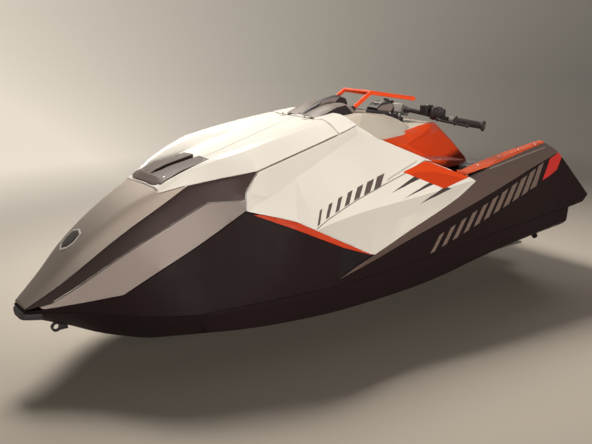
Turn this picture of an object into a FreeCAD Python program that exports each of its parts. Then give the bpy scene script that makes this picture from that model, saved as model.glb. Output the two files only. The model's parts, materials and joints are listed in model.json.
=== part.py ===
import FreeCAD, Part
import math
import os

# A sport personal watercraft with a jet pump: V hull, faceted deck with body panels, high
# gunwales round an open cockpit, a saddle on a plinth and a handlebar behind a twin dash pod.
# Millimetres. +X is forward, +Y is port, +Z is up. X is zero at mid-length, Y on the centre plane.
# Heights in this file are above the lowest point of the keel; export lowers everything by WATERLINE,
# so in the finished parts Z = 0 is the water's surface with the craft at rest.

# ---- driving dimensions -------------------------------------------------------------------
LENGTH_SCALE = 1.0          # stretches the stations of the moulded body along the craft
BEAM_SCALE = 1.0            # stretches the moulded body and what is set out from it across the craft
WATERLINE = 235.0           # the water's surface above the keel
SKIN = 9.0                  # thickness of a body panel under the moulded surface
PROUD = 3.0                 # how far a body panel stands out of the moulded surface
SEAM = 1.5                  # half of the gap between neighbouring panels
FAIR_TURN = 12.0            # a line of the body that turns less than this at a station is curved, degrees
FAIR_GAP = 0.7              # the most that a facet may lie off such a curve

WELL_FLOOR = 362.0          # top of the foot well floor
WELL_FRONT = -470.0         # front end of the foot wells
WELL_HALF_WIDTH = 418.0     # the inner face of the gunwales
PLINTH_HALF_WIDTH = 140.0   # the plinth that carries the saddle and the back of the knee fairing
PLINTH_STEP = -784.0        # where the plinth drops from the fairing to the saddle
PLINTH_REAR = -1200.0
PLINTH_TOP = 500.0
MAT = 8.0                   # thickness of the deck mats

PUMP_HEIGHT = 176.0         # axis of the jet pump
PUMP_BORE = 70.0            # radius of the bore of the pump
PUMP_WALL = 8.0
PUMP_GAP = 5.0              # round the pump in its tunnel
TRANSOM = -1286.0           # aft face of the hull below the swim platform
NOZZLE_PIVOT = -1338.0      # vertical steering axis of the nozzle
SHAFT = 14.0                # radius of the impeller shaft
SHAFT_END = -470.0          # where the shaft meets the engine's coupling
PLAY = 0.05                 # radial clearance of a turning shaft

BAR_RADIUS = 11.0
GRIP_RADIUS = 16.5
POD_RADIUS = 30.0           # control pods on the bar
POD_HALF = 30.0
LEVER_RADIUS = 6.0
POD_RISE = 16.0             # height of the middle of a pod above the bar
STEER_X = -500.0            # middle of the handlebar clamp
STEER_Z = 876.0
STEER_RAKE = 24.0           # lean of the steering column towards the rider, degrees
HOOP_RADIUS = 9.5

OUT = "parts"
os.makedirs(OUT, exist_ok=True)

AXIS_X = FreeCAD.Vector(1, 0, 0)
AXIS_Y = FreeCAD.Vector(0, 1, 0)
AXIS_Z = FreeCAD.Vector(0, 0, 1)
ORIGIN = FreeCAD.Vector(0, 0, 0)


# ---- small helpers ------------------------------------------------------------------------
def point(x, y, z):
    return FreeCAD.Vector(x * LENGTH_SCALE, y * BEAM_SCALE, z)


def box(x, y, z):
    """A block from three (low, high) pairs."""
    size = [high - low for low, high in (x, y, z)]
    return Part.makeBox(size[0], size[1], size[2], FreeCAD.Vector(x[0], y[0], z[0]))


def tube(start, end, radius):
    """A round bar from one point to another."""
    run = end.sub(start)
    return Part.makeCylinder(radius, run.Length, start, run)


def mirrored(shape):
    return shape.mirror(ORIGIN, AXIS_Y)


def wire(points):
    return Part.makePolygon(points + points[:1])


def loft(wires):
    return Part.makeLoft(wires, True, True)


def side_prism(outline, inner, outer):
    """An outline drawn in side view, (x, z) pairs, extruded across the craft."""
    face = Part.Face(wire([point(x, inner, z) for x, z in outline]))
    return face.extrude(FreeCAD.Vector(0, (outer - inner) * BEAM_SCALE, 0))


def plan_prism(outline, bottom, top):
    """An outline drawn in plan, (x, y) pairs, extruded upwards."""
    face = Part.Face(wire([point(x, y, bottom) for x, y in outline]))
    return face.extrude(FreeCAD.Vector(0, 0, top - bottom))


def triangle(first, second, third):
    return Part.Face(wire([first, second, third]))


def bulge(first, second, third, fourth):
    """Which way a twisted quad is folded: above zero, along the line from its first corner to its third."""
    normal = third.sub(first).cross(fourth.sub(second))
    return normal.dot(first.add(third).sub(second).sub(fourth))


def skinned(sections, folds=None):
    """A closed solid of flat facets through sections that have the same number of corners.

    Each section runs from a low point on the centre plane, up the port side, and down the other.
    A quad is folded along the diagonal that stands proud, and the starboard side mirrors the port."""
    count = len(sections[0])
    faces = [Part.Face(wire(sections[0])), Part.Face(wire(sections[-1]))]
    for row, (here, there) in enumerate(zip(sections, sections[1:])):
        for index in range(count):
            after = (index + 1) % count
            corners = [here[index], there[index], there[after], here[after]]
            outward = folds[row][index] if folds else bulge(*corners) >= 0
            if outward:
                faces.append(triangle(corners[0], corners[1], corners[2]))
                faces.append(triangle(corners[0], corners[2], corners[3]))
            else:
                faces.append(triangle(corners[0], corners[1], corners[3]))
                faces.append(triangle(corners[1], corners[2], corners[3]))
    solid = Part.Solid(Part.Shell(faces))
    if solid.Volume < 0:
        solid.reverse()
    return solid


def paired_loft(rows):
    """A solid, symmetrical across the craft, through sections given as x and port (y, z) pairs.

    The pairs of a row run from the lowest to the highest."""
    sections = []
    for x, *pairs in rows:
        port = [point(x, y, z) for y, z in pairs]
        starboard = [point(x, -y, z) for y, z in reversed(pairs)]
        sections.append(port + starboard)
    return skinned(sections)


def inset(outline, gap):
    """An outline drawn in side view, moved inwards all round by a gap."""
    turned = 0.0
    for (x0, z0), (x1, z1) in zip(outline, outline[1:] + outline[:1]):
        turned += x0 * z1 - x1 * z0
    gap = gap if turned < 0 else -gap
    count = len(outline)
    return [mitred(outline[i - 1], outline[i], outline[(i + 1) % count], gap) for i in range(count)]


def pipe(points, radius):
    """A round bar through points, with a ball at each corner."""
    runs = [tube(a, b, radius) for a, b in zip(points, points[1:])]
    balls = [Part.makeSphere(radius, p) for p in points[1:-1]]
    return runs[0].multiFuse(runs[1:] + balls)


def seated(shape, neighbours):
    """The largest piece of a shape that is left when its neighbours are taken out of it."""
    rest = shape.cut([other for other in neighbours if shape.BoundBox.intersect(other.BoundBox)])
    return max(rest.Solids, key=lambda solid: solid.Volume)


def save(name, shape):
    moved = shape.copy()
    moved.translate(FreeCAD.Vector(0, 0, -WATERLINE))
    if not moved.isValid() or not moved.Solids:
        raise RuntimeError("%s is not a valid solid" % name)
    moved.exportStep(os.path.join(OUT, name + ".step"))


def save_pair(name, port):
    save(name + "_left", port)
    save(name + "_right", mirrored(port))


# ---- the moulded body ---------------------------------------------------------------------
# One row for each station, from the bow aft. After the station and the height of the keel come the
# half-breadth and height of the chine, the knuckle, the belt line, the side, the shoulder crease,
# the ridge crease and the crown, and last the height on the centre plane.
STATIONS = [
    # x, keel, chine, knuckle, belt, side, shoulder, ridge, crown, centre
    (1430, 258, (36, 264), (52, 273), (58, 281), (61, 287), (63, 292), (60, 298), (40, 312), 317),
    (1340, 215, (66, 242), (112, 287), (116, 293), (120, 302), (108, 318), (82, 350), (58, 388), 400),
    (1240, 170, (100, 216), (190, 283), (197, 299), (202, 326), (152, 380), (105, 416), (76, 485), 500),
    (1140, 118, (205, 203), (292, 278), (302, 297), (310, 362), (193, 447), (124, 486), (92, 562), 577),
    (1020, 70, (303, 191), (385, 272), (388, 293), (381, 450), (236, 519), (146, 564), (110, 636), 653),
    (910, 33, (378, 177), (440, 268), (441, 291), (403, 506), (263, 576), (166, 629), (134, 688), 700),
    (790, 15, (420, 168), (462, 256), (465, 294), (416, 567), (289, 636), (189, 704), (162, 754), 722),
    (680, 5, (445, 162), (480, 246), (487, 298), (430, 628), (330, 690), (264, 730), (196, 798), 752),
    (571, 0, (464, 158), (497, 240), (508, 302), (477, 597), (410, 664), (349, 755), (222, 829), 780),
    (496, 0, (473, 156), (508, 237), (520, 306), (509, 572), (395, 687), (341, 771), (222, 844), 800),
    (331, 0, (485, 152), (522, 232), (550, 313), (537, 482), (364, 741), (325, 807), (212, 873), 847),
    (156, 0, (487, 152), (525, 228), (557, 358), (566, 389), (331, 797), (307, 845), (196, 897), 893),
    (20, 0, (485, 155), (522, 226), (554, 394), (556, 434), (302, 846), (288, 880), (184, 913), 917),
    (-60, 0, (485, 158), (518, 225), (552, 413), (552, 462), (326, 822), (270, 832), (180, 836), 838),
    (-283, 0, (474, 168), (505, 224), (547, 465), (542, 534), (443, 708), (350, 709), (180, 710), 711),
    (-461, 3, (456, 182), (490, 224), (540, 506), (518, 608), (488, 634), (400, 637), (180, 638), 639),
    (-647, 8, (437, 199), (470, 232), (528, 549), (489, 664), (462, 669), (380, 671), (180, 672), 673),
    (-919, 18, (421, 222), (450, 247), (503, 613), (464, 701), (440, 706), (370, 708), (180, 709), 710),
    (-1158, 32, (420, 243), (442, 264), (458, 655), (450, 730), (426, 734), (360, 736), (180, 737), 738),
    (-1450, 52, (420, 266), (440, 284), (466, 700), (446, 762), (422, 766), (360, 768), (180, 769), 770),
]
LINES = ("keel", "chine", "knuckle", "belt", "side", "waist", "shoulder", "ridge", "crown", "valley",
         "centre")
# The waist is a low crease across the side panel. Its half-breadth and height are given where it
# stands out; elsewhere it lies a small share of the way from the side to the shoulder.
WAIST = {680: (424, 632), 571: (473, 601), 496: (502, 579), 331: (529, 495), 156: (515, 502), 20: (529, 508),
         -60: (537, 512), -283: (536, 545)}
WAIST_SHARE = 0.3
# The valley runs along each side of the level middle of the hood. Where it is not given, the top of
# the section is a plain arch and the valley is only a point on it.
VALLEY = {790: (118, 722), 680: (116, 753), 571: (116, 781), 496: (118, 800), 331: (122, 846),
          156: (128, 891), 20: (130, 915)}
VALLEY_BREADTH = 0.5        # share of the crown's half-breadth
VALLEY_DROP = 0.22          # share of the arch's rise

# side view of the stern, from the top corner of the gunwale down to the keel
STERN = [(-954, 759), (-1158, 651), (-1447, 391), (-1410, 357), (-1293, 343), (TRANSOM, 260), (TRANSOM, -60)]
FAR = 1600.0                # beyond the craft, along it or upwards
HALF = 700.0                # beyond the craft, across it
# the bond line between the hull moulding and the deck moulding, in side view
BOND = [(1500, 286), (910, 268), (0, 292), (-1293, 343), (-1500, 366)]


def station_points(row):
    """The points of a station, one for each line of the body, on the port side."""
    x, keel, *pairs, centre = row
    side, shoulder = pairs[3], pairs[4]
    breadth, crown = pairs[-1]
    on_line = [a + (b - a) * WAIST_SHARE for a, b in zip(side, shoulder)]
    on_arch = (breadth * VALLEY_BREADTH, centre - (centre - crown) * VALLEY_DROP)
    pairs.insert(4, WAIST.get(x, on_line))
    pairs.append(VALLEY.get(x, on_arch))
    return [FreeCAD.Vector(x, y, z) for y, z in [(0, keel)] + pairs + [(0, centre)]]


def slope(start, end):
    """Change across the craft and in height for each millimetre along it."""
    run = end.sub(start)
    return run * (1 / run.x)


def slopes_along(line):
    """The slopes of a line just before and just after each station. They differ at a corner."""
    result = [(slope(line[0], line[1]), slope(line[0], line[1]))]
    for before, here, after in zip(line, line[1:], line[2:]):
        back = slope(before, here)
        ahead = slope(here, after)
        if math.degrees(here.sub(before).getAngle(after.sub(here))) < FAIR_TURN:
            share = (here.x - after.x) / (before.x - after.x)
            back = ahead = back * share + ahead * (1 - share)
        result.append((back, ahead))
    end = slope(line[-2], line[-1])
    return result + [(end, end)]


def hermite(start, end, slope_start, slope_end, share):
    """A point on the cubic between two points with given slopes."""
    run = end.x - start.x
    square = share * share
    cube = square * share
    place = start * (2 * cube - 3 * square + 1) + slope_start * (run * (cube - 2 * square + share))
    return place.add(end * (3 * square - 2 * cube)).add(slope_end * (run * (cube - square)))


def fair(rows):
    """The stations with more between them, as many as keep the facets on the curved lines."""
    lines = list(zip(*rows))
    slopes = [slopes_along(line) for line in lines]
    result = [rows[0]]
    for index in range(len(rows) - 1):
        spans = [(line[index], line[index + 1], slopes[i][index][1], slopes[i][index + 1][0])
                 for i, line in enumerate(lines)]
        worst = 0.0
        for span in spans:
            for share in (0.25, 0.5, 0.75):
                straight = span[0] * (1 - share) + span[1] * share
                worst = max(worst, hermite(*span, share).sub(straight).Length)
        steps = max(1, math.ceil(math.sqrt(worst / FAIR_GAP)))
        for step in range(1, steps + 1):
            result.append([hermite(*span, step / steps) for span in spans])
    return result


FAIRED = fair([station_points(row) for row in STATIONS])


def run_of(name, fore, aft):
    """A line of the body between two places along the craft, as (x, z) pairs in side view."""
    line = [row[LINES.index(name)] for row in FAIRED]
    places = [fore] + [here.x for here in line if aft < here.x < fore] + [aft]
    heights = []
    for x in places:
        for start, end in zip(line, line[1:]):
            if end.x <= x <= start.x:
                heights.append(start.z + (end.z - start.z) * (start.x - x) / (start.x - end.x))
                break
    return list(zip(places, heights))


def arc_points(start, end, slope_start, slope_end, count):
    """Points between two ends of a stretch of a section, on a cubic with given directions."""
    length = end.sub(start).Length
    points = []
    for step in range(1, count + 1):
        share = step / (count + 1)
        square = share * share
        cube = square * share
        place = start * (2 * cube - 3 * square + 1) + slope_start * (length * (cube - 2 * square + share))
        points.append(place.add(end * (3 * square - 2 * cube)).add(slope_end * (length * (cube - square))))
    return points


ROUNDING = 3                # points that round the section on each side of the crown


def rounded_top(ridge, crown, valley, centre):
    """The section from the ridge over the crown to the centre plane, rounded at the crown."""
    up = crown.sub(ridge)
    over = valley.sub(crown)
    level = centre.sub(valley)
    total = up.Length + over.Length
    at_crown = (up * (over.Length / up.Length)).add(over * (up.Length / over.Length)) * (1 / total)
    at_valley = over * (1 / over.Length) + level * (1 / level.Length)
    at_valley.normalize()
    first = arc_points(ridge, crown, up * (1 / up.Length), at_crown, ROUNDING)
    second = arc_points(crown, valley, at_crown, at_valley, ROUNDING)
    return [ridge] + first + [crown] + second + [valley, centre]


def section_points(row, offset):
    """The corners of a station from the keel round to the keel, moved outwards by an offset."""
    port = row[:-4] + rounded_top(*row[-4:])
    ring = [(here.y, here.z) for here in port] + [(-here.y, here.z) for here in port[-2:0:-1]]
    moved = []
    for index, here in enumerate(ring):
        after = ring[(index + 1) % len(ring)]
        moved.append(mitred(ring[index - 1], here, after, offset))
    return moved


def mitred(before, here, after, offset):
    """A corner of a closed outline, moved outwards so that both of its sides move by an offset."""
    normals = []
    for start, end in ((before, here), (here, after)):
        run = (end[0] - start[0], end[1] - start[1])
        length = math.hypot(*run)
        normals.append((run[1] / length, -run[0] / length))
    total = (normals[0][0] + normals[1][0], normals[0][1] + normals[1][1])
    size = total[0] ** 2 + total[1] ** 2
    scale = 2 * offset / max(size, 1.0)
    return (here[0] + total[0] * scale, here[1] + total[1] * scale)


def body_sections(offset):
    return [[point(row[0].x, y, z) for y, z in section_points(row, offset)] for row in FAIRED]


def fold_table():
    """How each quad of the moulded body is folded, the same for the grown and shrunk bodies."""
    folds = []
    sections = body_sections(0.0)
    for here, there in zip(sections, sections[1:]):
        row = []
        for index in range(len(here) // 2):
            row.append(bulge(here[index], there[index], there[index + 1], here[index + 1]) >= 0)
        folds.append(row + [not fold for fold in reversed(row)])
    return folds


BODY_FOLDS = fold_table()


def moulded_body(offset):
    """The whole outer form of the craft, grown or shrunk by an offset in each section.

    A form that is shrunk by a skin or more also stops two stations short of the bow."""
    first = 2 if offset <= -SKIN else 0
    body = skinned(body_sections(offset)[first:], BODY_FOLDS[first:])
    behind = [(-FAR, STERN[-1][1]), (-FAR, FAR), (STERN[0][0], FAR)]
    return body.cut(side_prism(STERN + behind, -HALF, HALF))


# ---- outlines of the body panels, in side view ---------------------------------------------
RIDGE = run_of("ridge", 1430, 800)
HOOD_FOOT = run_of("ridge", 790, 571)
NOSE_TAIL = (800, 704)      # the upper corner of the tail of the nose cowl
SHOULDER = run_of("shoulder", 1430, 764)[::-1]
FLANK_FOOT = run_of("side", 1371, 680)
HOOD_CREASE = run_of("ridge", 571, 20)
PANEL_TIP = FLANK_FOOT[-1]
PANEL_TOP = HOOD_CREASE[0]
STRIPE_FOOT = (650, 662)
PANEL_FOOT = run_of("side", 680, 156)
PANEL_LOW = PANEL_FOOT[-1]
ACCENT_FOOT = [(655, 612), (500, 539), (300, 440)]
PANEL_TAIL = [(-359, 548), (-490, 602)]
INSERT = [(-253, 714), (-461, 624), (-293, 593), (-115, 679)]
BACK_EDGE = [(-283, 708), (-60, 822), (8, 872)]
BELT = run_of("belt", 331, -919)
RAIL_LINE = [(-1034, 712), (-919, 697), (-647, 660), INSERT[1]]
STERN_CORNER = [(-1158, 651), (-1034, 719)]
COWL_FRONT = 905.0
HATCH_GAP = 4.0             # the inset of the hatch, which moves, from its own outline
HATCH_REAR = 128.5
REAR_COWL_FRONT = 125.5
GROOVE_FRONT = 640.0        # front end of the groove along the middle of the hatch
HOOD_PEAK = 21.0            # rear end of the white hood
SIDE_INNER = 270.0           # the side panels stop here, short of the console


def panel(outline, grown, shrunk, inner=0.0, gap=SEAM):
    """A body panel: the slice between two forms of the body that an outline in side view cuts out."""
    return grown.common(side_prism(inset(outline, gap), inner, HALF)).cut(shrunk)


PAIRED = ("nose_stripe", "bow_flank", "side_panel", "side_insert", "accent_strip", "gunwale_band", "topside")


def build_body_panels():
    """The panels of the deck moulding, keyed by name, with the port one of each pair."""
    flush = moulded_body(0.0)
    grown = moulded_body(PROUD)
    recessed = moulded_body(-PROUD)
    shrunk = moulded_body(-SKIN)
    across = -HALF
    panels = {}
    nose = [(1520, 240)] + RIDGE + [NOSE_TAIL, (COWL_FRONT, 680), (COWL_FRONT, 900), (1520, 900)]
    panels["nose_cowl"] = panel(nose, flush, shrunk, across)
    stripe = RIDGE + HOOD_FOOT + [STRIPE_FOOT] + SHOULDER
    panels["nose_stripe"] = panel(stripe, recessed, shrunk)
    flank = FLANK_FOOT + [STRIPE_FOOT] + SHOULDER[:-1]
    panels["bow_flank"] = panel(flank, flush, shrunk)
    cowl = run_of("ridge", REAR_COWL_FRONT, HOOD_PEAK) + [(HOOD_PEAK, 1000), (REAR_COWL_FRONT, 1000)]
    panels["hood_cowl"] = panel(cowl, grown, shrunk, across)
    hatch = [(COWL_FRONT, 680), NOSE_TAIL] + run_of("ridge", 786, HATCH_REAR)
    hatch += [(HATCH_REAR, 1000), (COWL_FRONT, 1000)]
    hatch = panel(hatch, grown, recessed, across, HATCH_GAP)
    groove = box((HATCH_REAR, GROOVE_FRONT), (-SEAM, SEAM), (700, 1000)).cut(flush)
    panels["front_hatch"] = hatch.cut(groove)
    side = [PANEL_TOP] + PANEL_FOOT + PANEL_TAIL + INSERT[1:2] + INSERT[:1]
    side = panel(side + BACK_EDGE + HOOD_CREASE[:0:-1], grown, shrunk, SIDE_INNER)
    insert = panel(INSERT, grown, shrunk, WELL_HALF_WIDTH)
    panels["side_panel"] = side.cut(insert)
    panels["side_insert"] = insert
    strip = [here for here in PANEL_FOOT[:-1] if here[0] < 640] + [(160, 388)] + ACCENT_FOOT[::-1]
    panels["accent_strip"] = panel(strip, flush, shrunk)
    topside = [(1450, 285), (1450, 291)] + FLANK_FOOT + ACCENT_FOOT + BELT + STERN_CORNER[:1]
    topside += [(-FAR, STERN_CORNER[0][1]), (-FAR, 377)] + BOND[3:0:-1]
    panels["topside"] = panel(topside, flush, shrunk)
    band = BELT + STERN_CORNER + RAIL_LINE + PANEL_TAIL[::-1] + [PANEL_LOW]
    panels["gunwale_band"] = panel(band, flush, shrunk, WELL_HALF_WIDTH)
    return flush, shrunk, panels


# ---- hull and deck ------------------------------------------------------------------------
BIN = ((190, 560), (-130, 130), (520, 1000))                 # storage bin under the front hatch
ENGINE = ((-460, 100), (-190, 190), (92, 430))
ENGINE_ROOM = 20.0          # clear room round the engine
RIDE_HALF_WIDTH = 125.0     # the flat under the pump for the ride plate
RIDE_TOP = 78.0
RIDE_THICK = 9.0


def engine_bay():
    (x0, x1), (y0, y1), (z0, z1) = ENGINE
    room = ENGINE_ROOM
    return box((x0 - room, x1 + room), (y0 - room, y1 + room), (z0, z1 + room))


def pump_tunnel():
    """The intake duct, the pump's tunnel and the flat for the ride plate, taken out of the hull."""
    low = PUMP_HEIGHT - PUMP_BORE
    high = PUMP_HEIGHT + PUMP_BORE
    duct = [(-660, -60), (-940, -60), (-1060, low), (-1060, high), (-1010, high)]
    half_width = PUMP_BORE + PUMP_WALL
    mouth = Part.Face(wire([FreeCAD.Vector(x, -half_width, z) for x, z in duct]))
    mouth = mouth.extrude(FreeCAD.Vector(0, 2 * half_width, 0))
    radius = PUMP_BORE + PUMP_WALL + PUMP_GAP
    bore = tube(FreeCAD.Vector(-1050, 0, PUMP_HEIGHT), FreeCAD.Vector(-1300, 0, PUMP_HEIGHT), radius)
    front = FreeCAD.Vector(SHAFT_END, 0, PUMP_HEIGHT)
    gland = tube(FreeCAD.Vector(-1050, 0, PUMP_HEIGHT), front, SHAFT + PLAY)
    slot = box((-1300, -1060), (-radius, radius), (-60, PUMP_HEIGHT))
    flat = box((-1300, -960), (-RIDE_HALF_WIDTH, RIDE_HALF_WIDTH), (-60, RIDE_TOP))
    return [mouth, bore, slot, flat, gland]


def build_hull_and_deck(flush, shrunk):
    below = side_prism(BOND + [(BOND[-1][0], -FAR), (BOND[0][0], -FAR)], -HALF, HALF)
    above = side_prism(BOND + [(BOND[-1][0], FAR), (BOND[0][0], FAR)], -HALF, HALF)
    hull = flush.common(below).cut(engine_bay())
    for cutter in pump_tunnel():
        hull = hull.cut(cutter)
    save("hull", hull)

    deck = shrunk.common(above).cut(engine_bay())
    forward = box((WELL_FRONT, FAR), (-HALF, HALF), (0, FAR))
    foredeck = deck.common(forward).cut(box(*BIN))
    save("foredeck", foredeck)
    aft = deck.cut(forward)
    floor = aft.common(box((-FAR, WELL_FRONT), (-HALF, HALF), (0, WELL_FLOOR)))
    save("cockpit_floor", floor)
    gunwale = aft.common(box((-FAR, WELL_FRONT), (WELL_HALF_WIDTH, HALF), (WELL_FLOOR, FAR)))
    save_pair("gunwale", gunwale)
    return hull, [foredeck, floor, gunwale, mirrored(gunwale)]


def build_plinth():
    """The plinth along the middle of the cockpit: high under the knee fairing, low under the saddle."""
    outline = [(WELL_FRONT, WELL_FLOOR), (WELL_FRONT, 636), (PLINTH_STEP, 616), (PLINTH_STEP, PLINTH_TOP),
               (PLINTH_REAR, PLINTH_TOP), (PLINTH_REAR - 14, WELL_FLOOR)]
    return side_prism(outline, -PLINTH_HALF_WIDTH, PLINTH_HALF_WIDTH)


# ---- front hatch hinge ----------------------------------------------------------------------
HINGE_X = 126.0
HINGE_Z = 902.0
HINGE_Y = 84.0
PIN_RADIUS = 3.0
BARREL_RADIUS = 5.5
BARREL_SPAN = 30.0          # length of the middle barrel
EAR_SPAN = 10.0
LEAF = 26.0                 # reach of the hatch's leaf of a hinge
EAR_FOOT = 20.0             # reach of an ear's foot into the cowl


def cross_tube(x, z, low, high, radius):
    return tube(FreeCAD.Vector(x, low, z), FreeCAD.Vector(x, high, z), radius)


def build_hatch_hinge(hatch, cowl):
    """Two hinges in the gap behind the hatch: a barrel on the hatch between two on the fixed cowl."""
    brackets = []
    for side in (1, -1):
        low = side * HINGE_Y - BARREL_SPAN / 2
        high = side * HINGE_Y + BARREL_SPAN / 2
        cowl = cowl.cut(cross_tube(HINGE_X, HINGE_Z, low - 5, high + 5, BARREL_RADIUS + 5))
        barrel = cross_tube(HINGE_X, HINGE_Z, low, high, BARREL_RADIUS)
        leaf = box((HINGE_X, HATCH_REAR + LEAF), (low, high), (HINGE_Z - BARREL_RADIUS - 3, HINGE_Z - 3))
        bore = cross_tube(HINGE_X, HINGE_Z, low - 1, high + 1, PIN_RADIUS + 0.2)
        hatch = hatch.fuse(barrel.fuse(leaf)).cut(bore)
        pin = cross_tube(HINGE_X, HINGE_Z, low - EAR_SPAN, high + EAR_SPAN, PIN_RADIUS)
        ears = []
        for start in (low - 1 - EAR_SPAN, high + 1):
            ear = cross_tube(HINGE_X, HINGE_Z, start, start + EAR_SPAN, BARREL_RADIUS)
            foot = box((HINGE_X - EAR_FOOT, HINGE_X), (start, start + EAR_SPAN), (HINGE_Z - 9, HINGE_Z + 1))
            ears.append(ear.fuse(foot))
        brackets.append(pin.multiFuse(ears).cut(cowl))
    hinges = brackets[0].fuse(brackets[1])
    save("hatch_hinges", hinges)
    return hatch, hinges, cowl


# ---- upper works: scoop, dash pod, console, knee fairing, guard hoop ------------------------
# Rows of a symmetrical solid: x, then port (y, z) pairs from the lowest to the highest.
SCOOP = [
    (896, (137, 660), (136, 698), (60, 711)),
    (868, (135, 680), (130, 722), (60, 731)),
    (780, (127, 700), (121, 754), (60, 758)),
    (648, (116, 745), (110, 781), (50, 784)),
]
SCOOP_GROOVE = [(858, (3, 716), (4, 790)), (826, (16, 727), (22, 790)), (636, (24, 766), (32, 850))]
CONSOLE = [
    (18, (292, 700), (290, 846), (200, 896), (112, 900), (104, 903)),
    (-88, (306, 690), (300, 818), (200, 907), (112, 908), (104, 926)),
    (-190, (286, 640), (268, 812), (184, 892), (110, 897), (102, 910)),
    (-300, (258, 600), (234, 806), (164, 874), (106, 880), (98, 893)),
    (-408, (212, 565), (200, 797), (146, 826), (96, 842), (88, 872)),
]
FAIRING = [
    (-130, (300, 690), (300, 700), (299, 712), (297, 790), (286, 804)),
    (-314, (294, 640), (291, 690), (276, 702), (262, 757), (220, 812)),
    (-450, (288, 630), (284, 670), (252, 686), (242, 776), (188, 821)),
    (-572, (262, 616), (256, 652), (222, 668), (202, 790), (170, 824)),
    (-690, (226, 610), (222, 632), (198, 642), (188, 704), (168, 728)),
    (-780, (190, 612), (189, 616), (187, 621), (185, 630), (168, 638)),
]


def build_scoop(blockers):
    body = paired_loft(SCOOP)
    groove = paired_loft(SCOOP_GROOVE)
    return seated(body.cut(groove), blockers)


# The pod has two low lobes and a raised binnacle between them. Each row runs from the foot of a
# lobe up its wall, over the lobe, into the valley beside the binnacle and up to its top.
POD = [
    (114, (124, 880), (121, 897), (96, 905), (64, 908), (31, 905), (7, 901), (5, 902), (2, 903)),
    (92, (130, 880), (122, 905), (97, 914), (65, 917), (33, 914), (10, 908), (6, 911), (2, 912)),
    (60, (138, 880), (122, 915), (98, 926), (66, 930), (36, 926), (16, 920), (9, 927), (2, 929)),
    (28, (145, 880), (122, 927), (99, 938), (70, 941), (42, 937), (24, 932), (13, 941), (3, 944)),
    (-4, (151, 880), (122, 938), (100, 947), (74, 949), (48, 945), (32, 942), (18, 955), (4, 959)),
    (-60, (156, 880), (118, 944), (98, 951), (76, 952), (54, 950), (40, 949), (25, 968), (5, 973)),
    (-98, (158, 880), (112, 931), (94, 937), (76, 938), (58, 938), (46, 944), (29, 973), (5, 979)),
    (-124, (152, 880), (104, 908), (90, 911), (76, 912), (60, 913), (52, 926), (32, 966), (6, 973)),
]
# the instrument housing on the middle of the console, between the pod and the handlebar
DISPLAY = [
    (-318, (38, 870), (38, 898), (30, 904)),
    (-342, (43, 870), (43, 914), (35, 922)),
    (-396, (43, 860), (43, 919), (35, 927)),
    (-426, (38, 855), (38, 906), (30, 912)),
]
KNOB = ((-404, 918), (-410, 938), 13)      # foot and top, (x, z), of the knob on the display, and its radius


def build_pod(blockers):
    return seated(paired_loft(POD), blockers)


def build_display(blockers):
    foot, top, radius = KNOB
    housing = seated(paired_loft(DISPLAY), blockers)
    return housing.fuse(tube(FreeCAD.Vector(foot[0], 0, foot[1]), FreeCAD.Vector(top[0], 0, top[1]), radius))


def build_hoop():
    """The guard hoop over the dash: two legs, a cross bar and two wings swept back."""
    bar = []
    for side in (1, -1):
        foot = FreeCAD.Vector(-80, side * 97, 900)
        corner = FreeCAD.Vector(-226, side * 96, 987)
        wing = FreeCAD.Vector(-436, side * 166, 949)
        bar.append(pipe([foot, corner, wing], HOOP_RADIUS))
    cross = tube(FreeCAD.Vector(-226, -96, 987), FreeCAD.Vector(-226, 96, 987), HOOP_RADIUS)
    return cross.multiFuse(bar)


# ---- steering -----------------------------------------------------------------------------
def steering_axis():
    rake = math.radians(STEER_RAKE)
    return FreeCAD.Vector(-math.sin(rake), 0, math.cos(rake))


def steering_point(height):
    """A point on the steering axis, measured along it from the handlebar clamp."""
    return FreeCAD.Vector(STEER_X, 0, STEER_Z).add(steering_axis() * height)


BAR_PATH = [(-668, 384), (-600, 250), (-516, 62), (STEER_X, 40)]     # x and half-breadth
BAR_HEIGHT = [822, 842, 878, STEER_Z]


COLUMN_RADIUS = 15.0


def build_bearing(fairing):
    """The boss on the knee fairing that carries the steering column."""
    boss = tube(steering_point(-92), steering_point(-34), 30)
    bore = tube(steering_point(-140), steering_point(0), COLUMN_RADIUS + PLAY)
    return boss.cut(bore).cut(fairing)


def bar_point(index, side):
    x, y = BAR_PATH[index]
    return FreeCAD.Vector(x, side * y, BAR_HEIGHT[index])


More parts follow.
